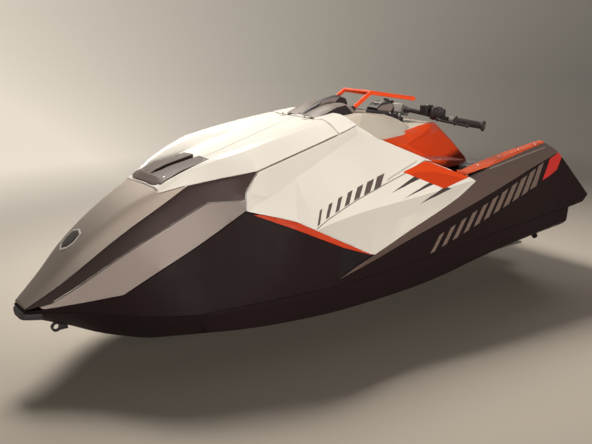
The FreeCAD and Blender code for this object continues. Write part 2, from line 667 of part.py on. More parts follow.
def build_steering():
    column = tube(steering_point(-118), steering_point(-4), COLUMN_RADIUS)
    clamp = box((-30, 30), (-36, 36), (-18, 24))
    clamp.rotate(ORIGIN, AXIS_Y, -STEER_RAKE)
    clamp.translate(steering_point(0))
    path = [bar_point(i, 1) for i in range(4)] + [bar_point(i, -1) for i in (3, 2, 1, 0)]
    bar = pipe(path, BAR_RADIUS)
    column = column.fuse(clamp).cut(tube(path[3], path[4], BAR_RADIUS))
    save("steering_column", column)
    save("handlebar", bar)
    for name, side in (("left", 1), ("right", -1)):
        outer = bar_point(0, side)
        run = outer.sub(bar_point(1, side))
        run.normalize()
        inner = outer.sub(run * 128)
        grip = tube(inner, outer.add(run * 4), GRIP_RADIUS)
        grip = grip.fuse(tube(inner.sub(run * 4), inner, 24))
        grip = grip.fuse(tube(outer, outer.add(run * 10), 25))
        save("grip_" + name, grip.cut(bar))
        pod_middle = inner.sub(run * 92).add(FreeCAD.Vector(0, 0, POD_RISE))
        pod = tube(pod_middle.sub(run * POD_HALF), pod_middle.add(run * POD_HALF), POD_RADIUS)
        reservoir = box((-24, 24), (-22, 22), (-10, 34))
        reservoir.translate(pod_middle.sub(run * 56))
        pod = pod.fuse(reservoir)
        save(("switch_pod_" if side > 0 else "throttle_pod_") + name, pod.cut(bar))
        perch = inner.sub(run * 58)
        elbow = perch.add(FreeCAD.Vector(44, 0, 2))
        knee = perch.add(run * 24).add(FreeCAD.Vector(56, 0, 0))
        tip = perch.add(run * 150).add(FreeCAD.Vector(50, 0, -4))
        lever = pipe([perch, elbow, knee, tip], LEVER_RADIUS)
        save(("brake_lever_" if side > 0 else "throttle_lever_") + name, lever.cut(bar).cut(pod).cut(grip))


# ---- saddle, mats, rails, bumper ----------------------------------------------------------
SADDLE_FRONT = -788.0
SADDLE_REAR = -1206.0
PAN = 10.0


def build_saddle():
    pan_bottom = PLINTH_TOP
    pan = plan_prism([(SADDLE_FRONT, 132), (SADDLE_REAR, 128), (SADDLE_REAR, -128), (SADDLE_FRONT, -132)],
                     pan_bottom, pan_bottom + PAN)
    top = pan_bottom + PAN
    cushion = paired_loft([
        (SADDLE_FRONT, (132, top), (126, 600), (80, 612)),
        (-1000, (142, top), (136, 560), (90, 576)),
        (SADDLE_REAR, (140, top), (146, 536), (100, 546)),
    ])
    save("saddle_pan", pan)
    save("saddle_cushion", cushion)


def build_mats():
    well = [(-480, 150), (-480, 410), (-1192, 410), (-1192, 150)]
    save_pair("foot_mat", plan_prism(well, WELL_FLOOR, WELL_FLOOR + MAT))
    rear = [(-1214, 405), (-1390, 405), (-1390, -405), (-1214, -405)]
    save("rear_mat", plan_prism(rear, WELL_FLOOR, WELL_FLOOR + MAT))


RAIL_PROUD = 8.0            # how far the rail stands out of the moulded surface


def build_rails(decks, panels):
    """The rail along the top of each gunwale, thick at mid-length and seated on the deck and band."""
    grown = moulded_body(RAIL_PROUD)
    outline = [(-446, 634), (-647, 662), (-919, 699), (-1030, 714), (-1026, 760), (-440, 700)]
    rail = grown.common(side_prism(outline, 440, HALF))
    blockers = decks + [panels["gunwale_band"], panels["side_panel"], panels["side_insert"]]
    save_pair("gunwale_rail", seated(rail, blockers))


def build_bumper(blockers):
    """The rubber bumper that wraps the stem under the nose."""
    rows = []
    for x, grow in ((1443, -12), (1434, 0), (1400, 1), (1372, -3)):
        half = 60 + (1430 - x) * 0.42 + grow
        rows.append((x, (half - 12, 254 - (1440 - x) * 0.1), (half, 264), (half, 278), (half - 6, 285)))
    bumper = paired_loft(rows)
    return seated(bumper, blockers)


# ---- jet drive ------------------------------------------------------------------------------
PUMP_FRONT = -1075.0
FLANGE_RADIUS = 96.0
FLANGE = 10.0
HUB_RADIUS = 26.0
EXIT_RADIUS = 44.0           # outside of the fixed exit cone where it leaves the flange
EXIT_TIP_RADIUS = 40.0
EXIT_WALL = 5.0
NOZZLE_WALL = 6.0
NOZZLE_RING = 64.0           # outside of the nozzle where it goes round the exit cone
NOZZLE_TIP = 50.0
NOZZLE_BACK = -90.0          # end of the nozzle, from its pivot
NOZZLE_RIM = 14.0            # front rim of the nozzle, from its pivot
PIVOT_PIN = 5.0


def cylinder(x, length, radius):
    return Part.makeCylinder(radius, length, FreeCAD.Vector(x, 0, PUMP_HEIGHT), AXIS_X)


def cone(x, length, rear, front):
    return Part.makeCone(rear, front, length, FreeCAD.Vector(x, 0, PUMP_HEIGHT), AXIS_X)


def upright(low, high, radius):
    """A vertical pin on the nozzle's steering axis, with heights above the pump's axis."""
    start = FreeCAD.Vector(NOZZLE_PIVOT, 0, PUMP_HEIGHT + low)
    return Part.makeCylinder(radius, high - low, start, AXIS_Z)


def both_ends(low, high, radius):
    return upright(low, high, radius).fuse(upright(-high, -low, radius))


def build_jet_drive(hull):
    rear = TRANSOM - FLANGE
    outside = cylinder(rear, PUMP_FRONT - rear, PUMP_BORE + PUMP_WALL)
    outside = outside.fuse(cylinder(rear, FLANGE, FLANGE_RADIUS))
    housing = outside.cut(cylinder(rear + 8, PUMP_FRONT - rear, PUMP_BORE)).cut(hull)
    tip = NOZZLE_PIVOT - 8
    length = rear - tip
    housing = housing.fuse(cone(tip, length + 1, EXIT_TIP_RADIUS, EXIT_RADIUS))
    housing = housing.fuse(both_ends(EXIT_TIP_RADIUS - 2, EXIT_TIP_RADIUS + 7, 11))
    inside = cone(tip - 1, length + 20, EXIT_TIP_RADIUS - EXIT_WALL, EXIT_RADIUS - EXIT_WALL)
    housing = housing.cut(inside)
    stator = [cone(rear - 26, 34, 10, HUB_RADIUS), cylinder(rear + 8, 52, HUB_RADIUS)]
    for index in range(6):
        vane = box((rear + 8, rear + 56), (-2.5, 2.5), (HUB_RADIUS - 4, PUMP_BORE + 2))
        vane.rotate(ORIGIN, AXIS_X, index * 60)
        vane.translate(FreeCAD.Vector(0, 0, PUMP_HEIGHT))
        stator.append(vane)
    pins = both_ends(EXIT_TIP_RADIUS, NOZZLE_RING + 5, PIVOT_PIN)
    heads = both_ends(NOZZLE_RING + 5, NOZZLE_RING + 9, PIVOT_PIN + 4)
    save("pump_housing", housing.multiFuse(stator + [pins, heads]))

    impeller_start = rear + 66
    impeller = cone(impeller_start, 90, HUB_RADIUS, 18)
    blades = []
    for index in range(4):
        blade = helical_blade(impeller_start + 12, 62, 20, PUMP_BORE - 2.5, 70)
        blade.rotate(FreeCAD.Vector(0, 0, PUMP_HEIGHT), AXIS_X, index * 90)
        blades.append(blade)
    impeller = impeller.multiFuse(blades)
    shaft_start = impeller_start + 60
    save("impeller", impeller.fuse(cylinder(shaft_start, SHAFT_END - shaft_start, SHAFT)))

    back = NOZZLE_PIVOT + NOZZLE_BACK
    length = NOZZLE_RIM - NOZZLE_BACK
    nozzle = cone(back, length, NOZZLE_TIP, NOZZLE_RING)
    nozzle = nozzle.fuse(both_ends(NOZZLE_RING - 14, NOZZLE_RING + 4, 13))
    inside = cone(back, length, NOZZLE_TIP - NOZZLE_WALL, NOZZLE_RING - NOZZLE_WALL)
    inside = inside.cut(both_ends(EXIT_TIP_RADIUS + 7.5, NOZZLE_RING, 13))
    bores = both_ends(EXIT_TIP_RADIUS, NOZZLE_RING + 10, PIVOT_PIN + PLAY)
    save("steering_nozzle", nozzle.cut(inside).cut(bores))


def build_under_hull(hull):
    """The ride plate under the pump and the grate over the mouth of the intake duct."""
    half = RIDE_HALF_WIDTH - 3
    plate = box((-1340, -975), (-half, half), (RIDE_TOP - RIDE_THICK, RIDE_TOP))
    for side in (-68, 0, 68):
        fin = box((-1336, -985), (side - 3, side + 3), (RIDE_TOP - RIDE_THICK - 9, RIDE_TOP - 1))
        plate = plate.fuse(fin)
    save("ride_plate", plate)
    half = PUMP_BORE + PUMP_WALL
    low = 26
    high = 40
    bars = [box((-950, -740), (y - 3.5, y + 3.5), (low, high)) for y in (-56, -28, 0, 28, 56)]
    ends = [box((x, x + 15), (-half, half), (low, high)) for x in (-950, -755)]
    grate = bars[0].multiFuse(bars[1:] + ends)
    save("intake_grate", seated(grate, [hull]))


EYE_BORE = 11.0
EYE_THICK = 10.0
BOW_EYE = (1300.0, 181.0)   # place along the craft and height of the bow eye
BOW_EYE_ROOT = -46.0
STERN_EYE = (-1316.0, 300.0, 300.0)


def eye_plate(x, y, z, reach):
    """A tow eye: a plate on edge, rounded at its outer end, with a hole across the craft."""
    half = EYE_THICK / 2
    outer = tube(FreeCAD.Vector(x, y - half, z), FreeCAD.Vector(x, y + half, z), EYE_BORE + 9)
    root = box(tuple(sorted((x, x + reach))), (y - half, y + half), (z - 16, z + 16))
    bore = tube(FreeCAD.Vector(x, y - EYE_THICK, z), FreeCAD.Vector(x, y + EYE_THICK, z), EYE_BORE)
    return outer.fuse(root).cut(bore)


def build_eyes(hull, bumper):
    save("bow_eye", eye_plate(BOW_EYE[0], 0, BOW_EYE[1], BOW_EYE_ROOT).cut(hull).cut(bumper))
    x, y, z = STERN_EYE
    pad = box((TRANSOM - 6, TRANSOM), (y - 18, y + 18), (z - 32, z + 32))
    save_pair("stern_eye", eye_plate(x, y, z, TRANSOM - x + 4).fuse(pad).cut(hull))


def helical_blade(start, length, inner, outer, twist):
    """An impeller blade: four short lengths, each turned a little further round the shaft."""
    steps = 4
    thickness = 5
    wires = []
    for index in range(steps + 1):
        x = start + length * index / steps
        blade = [FreeCAD.Vector(x, -thickness / 2, inner), FreeCAD.Vector(x, thickness / 2, inner),
                 FreeCAD.Vector(x, thickness / 2, outer), FreeCAD.Vector(x, -thickness / 2, outer)]
        section = wire(blade)
        section.rotate(ORIGIN, AXIS_X, twist * index / steps)
        section.translate(FreeCAD.Vector(0, 0, PUMP_HEIGHT))
        wires.append(section)
    return loft(wires)


def main():
    flush, shrunk, panels = build_body_panels()
    hull, deck = build_hull_and_deck(flush, shrunk)
    panels["front_hatch"], hinges, cowl = build_hatch_hinge(panels["front_hatch"], panels["hood_cowl"])
    panels["hood_cowl"] = cowl
    for name, piece in panels.items():
        if name in PAIRED:
            save_pair(name, piece)
        else:
            save(name, piece)
    save("engine", box(*ENGINE))
    plinth = build_plinth()
    save("saddle_plinth", plinth)

    save("air_scoop", build_scoop([panels["front_hatch"], panels["nose_cowl"], deck[0]]))
    sides = [panels["side_panel"], mirrored(panels["side_panel"])]
    sides += [panels["side_insert"], mirrored(panels["side_insert"])]
    fixed = [deck[0], plinth, panels["hood_cowl"]] + sides
    console = seated(paired_loft(CONSOLE), fixed)
    save("console", console)
    socket = tube(steering_point(-140), steering_point(0), COLUMN_RADIUS + 2)
    fairing = seated(paired_loft(FAIRING), fixed + [console]).cut(socket)
    save("knee_fairing", fairing)
    save("steering_bearing", build_bearing(fairing))
    pod = build_pod([console, panels["hood_cowl"], hinges] + fixed)
    save("dash_pod", pod)
    save("dash_display", build_display([console, pod]))
    save("guard_hoop", build_hoop().cut(console).cut(pod))
    build_steering()
    build_saddle()
    build_mats()
    build_rails([deck[0], deck[2]], panels)
    around = [panels["nose_stripe"], panels["topside"]]
    around += [mirrored(piece) for piece in around]
    bumper = build_bumper([deck[0], hull, panels["nose_cowl"]] + around)
    save("bow_bumper", bumper)
    build_jet_drive(hull)
    build_under_hull(hull)
    build_eyes(hull, bumper)


main()
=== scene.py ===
import json
import math

import bmesh
import bpy
from bpy.props import BoolProperty, FloatProperty, FloatVectorProperty, IntProperty
from mathutils import Matrix, Vector
from mathutils.bvhtree import BVHTree
from mathutils.kdtree import KDTree


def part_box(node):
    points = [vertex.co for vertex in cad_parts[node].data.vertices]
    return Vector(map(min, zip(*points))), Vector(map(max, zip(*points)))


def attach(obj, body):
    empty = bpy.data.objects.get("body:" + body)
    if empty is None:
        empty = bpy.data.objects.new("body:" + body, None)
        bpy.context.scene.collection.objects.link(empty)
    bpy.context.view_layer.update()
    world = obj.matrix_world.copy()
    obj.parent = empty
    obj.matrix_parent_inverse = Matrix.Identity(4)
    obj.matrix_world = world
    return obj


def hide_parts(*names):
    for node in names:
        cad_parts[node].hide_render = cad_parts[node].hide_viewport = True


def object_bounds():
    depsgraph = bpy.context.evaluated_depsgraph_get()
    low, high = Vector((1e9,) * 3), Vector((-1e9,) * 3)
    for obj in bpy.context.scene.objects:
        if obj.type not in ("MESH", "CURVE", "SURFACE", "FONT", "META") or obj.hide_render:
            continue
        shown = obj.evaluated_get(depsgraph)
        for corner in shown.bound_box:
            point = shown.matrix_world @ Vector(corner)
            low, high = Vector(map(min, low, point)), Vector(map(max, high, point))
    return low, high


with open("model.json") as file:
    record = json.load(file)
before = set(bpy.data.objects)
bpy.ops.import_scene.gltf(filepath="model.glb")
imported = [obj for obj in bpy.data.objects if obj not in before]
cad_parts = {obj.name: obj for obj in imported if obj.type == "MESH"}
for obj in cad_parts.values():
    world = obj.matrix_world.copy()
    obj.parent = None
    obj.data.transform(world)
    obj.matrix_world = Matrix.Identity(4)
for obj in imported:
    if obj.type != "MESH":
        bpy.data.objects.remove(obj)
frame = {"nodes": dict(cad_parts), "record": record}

bl_info = {
    "name": "Personal watercraft finish",
    "version": (2, 0, 0),
    "blender": (4, 5, 0),
    "location": "3D View > Sidebar > Watercraft",
    "description": "Finishes the body panels, cockpit, steering and jet drive of a sport watercraft",
    "category": "Object",
}

CAD_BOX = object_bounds()
BODY_OF = {node: body for body, nodes in frame["record"]["behaviour"]["bodies"].items()
           for node in nodes}
MM = 0.001
UP = Vector((0, 0, 1))
PORT = Vector((0, 1, 0))
AHEAD = Vector((1, 0, 0))
MIRROR = Vector((1, -1, 1))         # times a place on the port side, the same place to starboard
SIDES = ((1, "left"), (-1, "right"))


# ---- shader trees -------------------------------------------------------------------------
class Value:
    """One output of a shader tree. Arithmetic on it adds Math nodes."""

    def __init__(self, tree, socket):
        self.tree = tree
        self.socket = socket

    def math(self, operation, *others):
        inputs = dict(enumerate((self, *others)))
        return self.tree.add("ShaderNodeMath", {"operation": operation}, inputs)

    def __add__(self, other):
        return self.math("ADD", other)

    __radd__ = __add__

    def __sub__(self, other):
        return self.math("SUBTRACT", other)

    def __rsub__(self, other):
        return self.tree.add("ShaderNodeMath", {"operation": "SUBTRACT"}, {0: other, 1: self})

    def __mul__(self, other):
        return self.math("MULTIPLY", other)

    __rmul__ = __mul__

    def __truediv__(self, other):
        return self.math("DIVIDE", other)

    def sine(self):
        return self.math("SINE")

    def lowest(self, other):
        return self.math("MINIMUM", other)

    def highest(self, other):
        return self.math("MAXIMUM", other)

    def between(self, low, high):
        """0 below low, 1 above high, and a straight ramp from one to the other."""
        return self.tree.add("ShaderNodeMapRange", {"clamp": True},
                             {"Value": self, "From Min": low, "From Max": high})


BLACK = (0.0, 0.0, 0.0, 1.0)


class Tree:
    """A material's node tree, with one Principled shader whose constants are set on it."""

    BACKDROP = (1.0, 0.9, 0.765, 1.0)   # the backdrop's tone, how bright it is at its palest,
    PALEST, DIMMING = 0.80, 0.68        # how much it dims, and which way the dim side lies
    DIM_SIDE = (-0.95, -0.31)

    def __init__(self, name, **constants):
        self.material = bpy.data.materials.new(name)
        self.material.use_nodes = True
        self.nodes = self.material.node_tree.nodes
        self.links = self.material.node_tree.links
        self.shader = self.nodes["Principled BSDF"]
        for socket, value in constants.items():
            self.shader.inputs[socket.replace("_", " ")].default_value = value

    def add(self, kind, settings=None, inputs=None, output=0):
        """Adds a node of any type: its settings first, then the values or links of its sockets."""
        node = self.nodes.new(kind)
        for key, value in (settings or {}).items():
            setattr(node, key, value)
        for key, value in (inputs or {}).items():
            if isinstance(value, Value):
                self.links.new(value.socket, node.inputs[key])
            else:
                node.inputs[key].default_value = value
        return Value(self, node.outputs[output])

    def place(self):
        """Where a point is on the craft, in metres."""
        return self.add("ShaderNodeTexCoord", output="Object")

    def axes(self):
        node = self.add("ShaderNodeSeparateXYZ", None, {0: self.place()}).socket.node
        return [Value(self, output) for output in node.outputs]

    def noise(self, scale, detail=2.0, stretch=(1, 1, 1), roughness=0.5):
        """Noise with so many cells to a metre."""
        mapped = self.add("ShaderNodeMapping", None, {"Vector": self.place(), "Scale": stretch})
        return self.add("ShaderNodeTexNoise", None,
                        {"Vector": mapped, "Scale": scale, "Detail": detail, "Roughness": roughness})

    def cells(self, scale, feature="F1", output="Distance"):
        return self.add("ShaderNodeTexVoronoi", {"feature": feature},
                        {"Vector": self.place(), "Scale": scale}, output)

    def mix(self, share, first, second):
        """A colour between two."""
        return self.add("ShaderNodeMix", {"data_type": "RGBA"}, {0: share, 6: first, 7: second}, 2)

    def bump(self, height, depth, normal=None):
        inputs = {"Height": height, "Distance": depth, "Strength": 1.0}
        if normal is not None:
            inputs["Normal"] = normal
        return self.add("ShaderNodeBump", None, inputs)

    def worn(self, tone, colour, radius=2.0 * MM, share=0.5):
        """Paler where an edge is rounded, as handling wears it."""
        soft = self.add("ShaderNodeBevel", {"samples": 4}, {"Radius": radius})
        hard = self.add("ShaderNodeNewGeometry", output="Normal")
        turn = self.add("ShaderNodeVectorMath", {"operation": "DOT_PRODUCT"}, {0: soft, 1: hard},
                        "Value")
        edge = (1.0 - turn).between(0.02, 0.2) * share
        return self.mix(edge, tone, colour)

    def inside(self, corners, soft=0.5 * MM):
        """A mask of a convex outline drawn in side view, (x, z) corners in order round it."""
        x, _, z = self.axes()
        sides = list(zip(corners, [*corners[1:], corners[0]]))
        turned = sum(a[0] * b[1] - b[0] * a[1] for a, b in sides)
        sign = 1.0 if turned > 0 else -1.0
        depth = None
        for a, b in sides:
            length = math.dist(a, b) * sign
            dx, dz = (b[0] - a[0]) / length, (b[1] - a[1]) / length
            reach = z * dx - x * dz + (a[0] * dz - a[1] * dx)
            depth = reach if depth is None else depth.lowest(reach)
        return depth.between(-soft, soft)

    def seen(self):
        """1 where the camera, a reflection or glass looks, 0 for the light that falls on things."""
        rays = self.add("ShaderNodeLightPath").socket.node.outputs
        camera, glossy, clear = (Value(self, rays[name]) for name in
                                 ("Is Camera Ray", "Is Glossy Ray", "Is Transmission Ray"))
        return camera.highest(glossy).highest(clear)

    def backdrop(self, x, y, share=1.0):
        """The pale backdrop, dimmer round one side of the stage; x and y say which way it lies."""
        dim = (x * self.DIM_SIDE[0] + y * self.DIM_SIDE[1]).between(0.45, 1.0) * self.DIMMING
        return self.mix((self.PALEST - dim) * share, BLACK, self.BACKDROP)

    def feed(self, **sources):
        for socket, value in sources.items():
            self.links.new(value.socket, self.shader.inputs[socket.replace("_", " ")])
        return self.material


class Sky(Tree):
    """The node tree of the world round the stage."""

    def __init__(self, name):
        self.material = bpy.data.worlds.new(name)
        self.material.use_nodes = True
        self.nodes = self.material.node_tree.nodes
        self.links = self.material.node_tree.links

    def heading(self):
        """How far a direction points along +X and along +Y, from -1 to 1."""
        way = self.add("ShaderNodeTexCoord", output="Generated")
        parted = self.add("ShaderNodeSeparateXYZ", None, {0: way}).socket.node
        return [Value(self, output) for output in parted.outputs][:2]

    def show(self, surface):
        self.links.new(surface.socket, self.nodes["World Output"].inputs["Surface"])


def shade(colour, factor):
    """A colour made lighter or darker, with full alpha."""
    return (colour[0] * factor, colour[1] * factor, colour[2] * factor, 1.0)


# ---- finishes -----------------------------------------------------------------------------
def gelcoat(name, colour, roughness=0.3, coat=0.3, marks=None, dust=0.03, gloss=0.3):
    """Sprayed moulding: faint ripple of the mould, haze, fine dust and printed marks."""
    tree = Tree(name, Coat_Roughness=0.16, IOR=1.45, Specular_IOR_Level=gloss, Coat_Weight=coat)
    cloud = tree.noise(3.0)
    haze = tree.noise(26.0, 4.0)
    tone = tree.mix(cloud.between(0.3, 0.7), shade(colour, 0.965), shade(colour, 1.03))
    if marks is not None:
        tone = marks(tree, tone)
    specks = tree.noise(420.0, 3.0).between(0.62, 0.8) * dust
    tone = tree.mix(specks, tone, shade((0.5, 0.47, 0.43), 1.0))
    ripple = tree.bump(tree.noise(40.0, 1.0), 0.00010)
    peel = tree.bump(tree.noise(800.0, 1.0), 0.00001, ripple)
    rough = haze.between(0.2, 0.8) * 0.1 + (roughness - 0.05)
    return tree.feed(Base_Color=tone, Roughness=rough, Normal=peel)


def metallic_paint(name, colour, metallic=0.5, roughness=0.4, marks=None, fade=None):
    """Satin paint with fine flake; a fade darkens it from one place along the craft to another."""
    tree = Tree(name, Coat_Weight=0.06, Coat_Roughness=0.2, Metallic=metallic, Specular_IOR_Level=0.25)
    sparkle = tree.add("ShaderNodeSeparateColor", None, {0: tree.cells(2400.0, output="Color")})
    tone = tree.mix(sparkle, shade(colour, 0.84), shade(colour, 1.16))
    tone = tree.mix(tree.noise(4.0).between(0.3, 0.7) * 0.4, tone, shade(colour, 0.92))
    if fade is not None:
        start, end, depth = fade
        tone = tree.mix(tree.axes()[0].between(start, end) * depth, tone, shade(colour, 0.25))
    if marks is not None:
        tone = marks(tree, tone)
    rough = tree.noise(30.0, 3.0) * 0.08 + (roughness - 0.04)
    return tree.feed(Base_Color=tone, Roughness=rough, Normal=tree.bump(tree.noise(700.0, 1.0), 0.00001))


def moulded_plastic(name, colour, roughness=0.5, grain=650.0, depth=0.00007, wear=0.35):
    """Textured plastic: a fine leather-like grain, paler where it is handled."""
    tree = Tree(name, Specular_IOR_Level=0.22)
    pits = tree.cells(grain, "SMOOTH_F1")
    tone = tree.mix(tree.noise(14.0, 4.0).between(0.35, 0.75), shade(colour, 0.88), shade(colour, 1.16))
    tone = tree.worn(tone, shade(colour, 1.9), share=wear)
    rough = tree.noise(60.0, 3.0) * 0.16 + (roughness - 0.08)
    return tree.feed(Base_Color=tone, Roughness=rough, Normal=tree.bump(pits, depth))


def rubber(name, colour, roughness=0.7, grain=1300.0):
    tree = Tree(name, Specular_IOR_Level=0.35)
    dust = tree.noise(38.0, 5.0)
    tone = tree.mix(dust.between(0.45, 0.8), shade(colour, 0.95), shade(colour, 1.7))
    tone = tree.worn(tone, shade(colour, 2.4), 1.5 * MM, 0.4)
    rough = dust * 0.2 + (roughness - 0.1)
    return tree.feed(Base_Color=tone, Roughness=rough, Normal=tree.bump(tree.noise(grain, 3.0), 0.00006))


def foam(name, colour):
    """Closed-cell deck foam: small open pores with painted shade in them, a little bleached on top."""
    tree = Tree(name, Specular_IOR_Level=0.25)
    pores = tree.cells(900.0, "F1")
    bleach = tree.noise(9.0, 4.0).between(0.35, 0.7)
    tone = tree.mix(bleach, shade(colour, 0.85), shade(colour, 1.4))
    # painted shade: the pores are darker than the foam round them
    tone = tree.mix(pores.between(0.05, 0.4), shade(colour, 0.55), tone)
    return tree.feed(Base_Color=tone, Roughness=tree.noise(120.0, 3.0) * 0.14 + 0.8,
                     Normal=tree.bump(pores, 0.0002))


def vinyl(name, colour, roughness=0.42):
    """Marine seat vinyl: pebbled grain over soft creases, with painted shade in the pits of the grain
    and the hollows of the creases.
    """
    tree = Tree(name, Coat_Weight=0.08, Coat_Roughness=0.4, Sheen_Weight=0.08, Sheen_Roughness=0.4)
    grain = tree.cells(480.0, "SMOOTH_F1")
    creases = tree.noise(22.0, 3.0, (1.0, 2.2, 1.0))
    # painted shade: darker where the creases and the grain lie low
    tone = tree.mix(creases.between(0.3, 0.7), shade(colour, 0.82), shade(colour, 1.3))
    tone = tree.mix(grain.between(0.0, 0.35), shade(colour, 0.7), tone)
    soft = tree.bump(creases, 0.0012)
    rough = tree.noise(90.0, 2.0) * 0.18 + (roughness - 0.08)
    return tree.feed(Base_Color=tone, Roughness=rough, Normal=tree.bump(grain, 0.00022, soft))


def thread(name, colour):
    """Twisted sewing thread, with painted shade between its strands."""
    tree = Tree(name, Sheen_Weight=0.3)
    x, y, z = tree.axes()
    strands = ((x + y + z) * 2600.0).sine()
    # painted shade: darker in the grooves between the strands
    tone = tree.mix(strands.between(-1.0, 1.0), shade(colour, 0.6), shade(colour, 1.2))
    return tree.feed(Base_Color=tone, Roughness=tree.noise(300.0) * 0.2 + 0.6,
                     Normal=tree.bump(strands, 0.0002))


def bare_metal(name, colour, roughness=0.32, brushed=(1, 1, 1), grain=240.0):
    tree = Tree(name, Metallic=1.0)
    lines = tree.noise(grain, 4.0, brushed)
    tone = tree.mix(tree.noise(20.0, 3.0).between(0.3, 0.7), shade(colour, 0.86), shade(colour, 1.05))
    tone = tree.worn(tone, shade(colour, 1.35), 1.0 * MM, 0.5)
    rough = lines * 0.2 + (roughness - 0.1)
    return tree.feed(Base_Color=tone, Roughness=rough, Normal=tree.bump(lines, 0.00002))


def screen_glass(name):
    """The dark face of the instruments, with a faint glow behind it."""
    tree = Tree(name, Coat_Weight=0.8, Coat_Roughness=0.03)
    film = tree.noise(30.0, 2.0)
    return tree.feed(Base_Color=tree.mix(film, (0.008, 0.01, 0.012, 1), (0.016, 0.02, 0.022, 1)),
                     Roughness=film * 0.06 + 0.08)


def lit_marks(name, colour, strength=0.5):
    tree = Tree(name, Emission_Strength=strength)
    film = tree.noise(300.0, 2.0)
    tone = tree.mix(film, shade(colour, 0.8), shade(colour, 1.0))
    return tree.feed(Base_Color=tone, Emission_Color=tone, Roughness=film * 0.1 + 0.35)


# ---- printed marks ------------------------------------------------------------------------
def slanted_bar(start, end, low, high, lean):
    """The corners of a bar between a low and a high line, leaning aft by so much."""
    corners = []
    for x, line, shift in ((start, low, 0.0), (end, low, 0.0), (end, high, -lean), (start, high, -lean)):
        corners.append((x + shift, line[0] + line[1] * (x + shift)))
    return corners


# the rows of bars: the lines that they stand between, each a height at x = 0 and a rise for each
# metre, their number, and the share of the pitch that the first and the last bar take
PANEL_LINES = ((0.4065, -0.2449), (0.4430, -0.2386))
PANEL_BARS = (0.408, 0.004, 7, 0.30, 0.74)
SHORT_BAR = ((0.4105, -0.3190), (0.4170, -0.3190))
SIDE_LINES = ((0.0280, -0.2560), (0.0870, -0.2995))
SIDE_BARS = (-0.205, -0.985, 11, 0.42, 0.72)
LAST_BAR = ((0.0300, -0.2560), (0.0980, -0.2760))
BAR_LEAN = 0.044
# outlines in side view: a thin line along the side panel, in two runs, and one along the band
PANEL_RUNS = (((0.416, 0.2965), (-0.125, 0.4360)), ((-0.125, 0.4360), (-0.252, 0.4790)))
RUN_HEIGHT = 0.0035
BAND_LINE = ((-0.600, 0.4050), (-1.040, 0.4530), (-1.040, 0.4580), (-0.600, 0.4100))
# tip and root of each dark blade below the side insert
BLADES = (((-0.021, 0.371), (-0.175, 0.426), (-0.192, 0.412)),
          ((-0.068, 0.344), (-0.242, 0.395), (-0.253, 0.384)),
          ((-0.134, 0.315), (-0.303, 0.367), (-0.333, 0.355)))
# the corner of the side panel below the accent strip is black, as the topside beside it is
PANEL_FOOT = ((0.345, 0.05), (0.340, 0.206), (0.300, 0.2055), (0.150, 0.1525), (0.150, 0.05))
DECK_EDGE = ((0.700, 0.411), (0.140, 0.145), (0.140, 0.000), (0.700, 0.000))
# facets of the side panel, the insert and the knee fairing that get painted shade: a darker tone where
# they face away from the light
SHADED_PANEL_TAIL = ((0.425, 0.294), (-0.480, 0.374), (-0.600, 0.200), (0.100, 0.050), (0.400, 0.050))
SHADED_PANEL_SHOULDER = ((0.680, 0.390), (0.028, 0.608), (0.027, 0.700), (0.571, 0.540))
SHADED_INSERT_LOWER = ((-0.100, 0.425), (-0.181, 0.437), (-0.272, 0.431), (-0.425, 0.386), (-0.360, 0.330),
                (-0.150, 0.360))
SHADED_FAIRING_FLANK = ((-0.556, 0.585), (-0.300, 0.523), (-0.473, 0.436), (-0.800, 0.360), (-0.800, 0.560))

INK = (0.105, 0.074, 0.068, 1.0)
DARK_INK = (0.050, 0.036, 0.036, 1.0)
SIDE_INK = (0.150, 0.108, 0.090, 1.0)
RED_INK = (0.50, 0.035, 0.030, 1.0)
PALE_INK = (0.36, 0.31, 0.28, 1.0)
FOOT_BLACK = (0.010, 0.007, 0.008, 1.0)
# the tone of the painted shade on the white side panels
PANEL_SHADE_TONE = (0.20, 0.165, 0.14, 1.0)
# the tone of the painted shade on the orange insert and knee fairing
ORANGE_SHADE_TONE = (0.34, 0.02, 0.004, 1.0)
BAND_TONE = (0.085, 0.062, 0.058, 1.0)


def bar_row(start, end, count, thin, thick):
    """The (start, end) of each bar in a row; the bars grow evenly from thin to thick."""
    pitch = (end - start) / count
    return [(start + pitch * i, start + pitch * (i + thin + (thick - thin) * i / (count - 1)))
            for i in range(count)]


def drawn(tree, tone, outline, ink, share=1.0):
    """A tone with an outline filled in another colour, or in a share of it."""
    mask = tree.inside(outline)
    return tree.mix(mask if share == 1.0 else mask * share, tone, ink)


def deck_marks(tree, tone):
    """Black where the deck moulding shows below the accent strip and in the seam under it."""
    return drawn(tree, drawn(tree, tone, PANEL_FOOT, FOOT_BLACK), DECK_EDGE, FOOT_BLACK)


# painted shade on the insert's lower facet
def insert_painted_shade(tree, tone):
    return drawn(tree, tone, SHADED_INSERT_LOWER, ORANGE_SHADE_TONE, 0.4)


# painted shade on the fairing's flank, which faces away from the light
def fairing_painted_shade(tree, tone):
    return drawn(tree, tone, SHADED_FAIRING_FLANK, ORANGE_SHADE_TONE, 0.45)


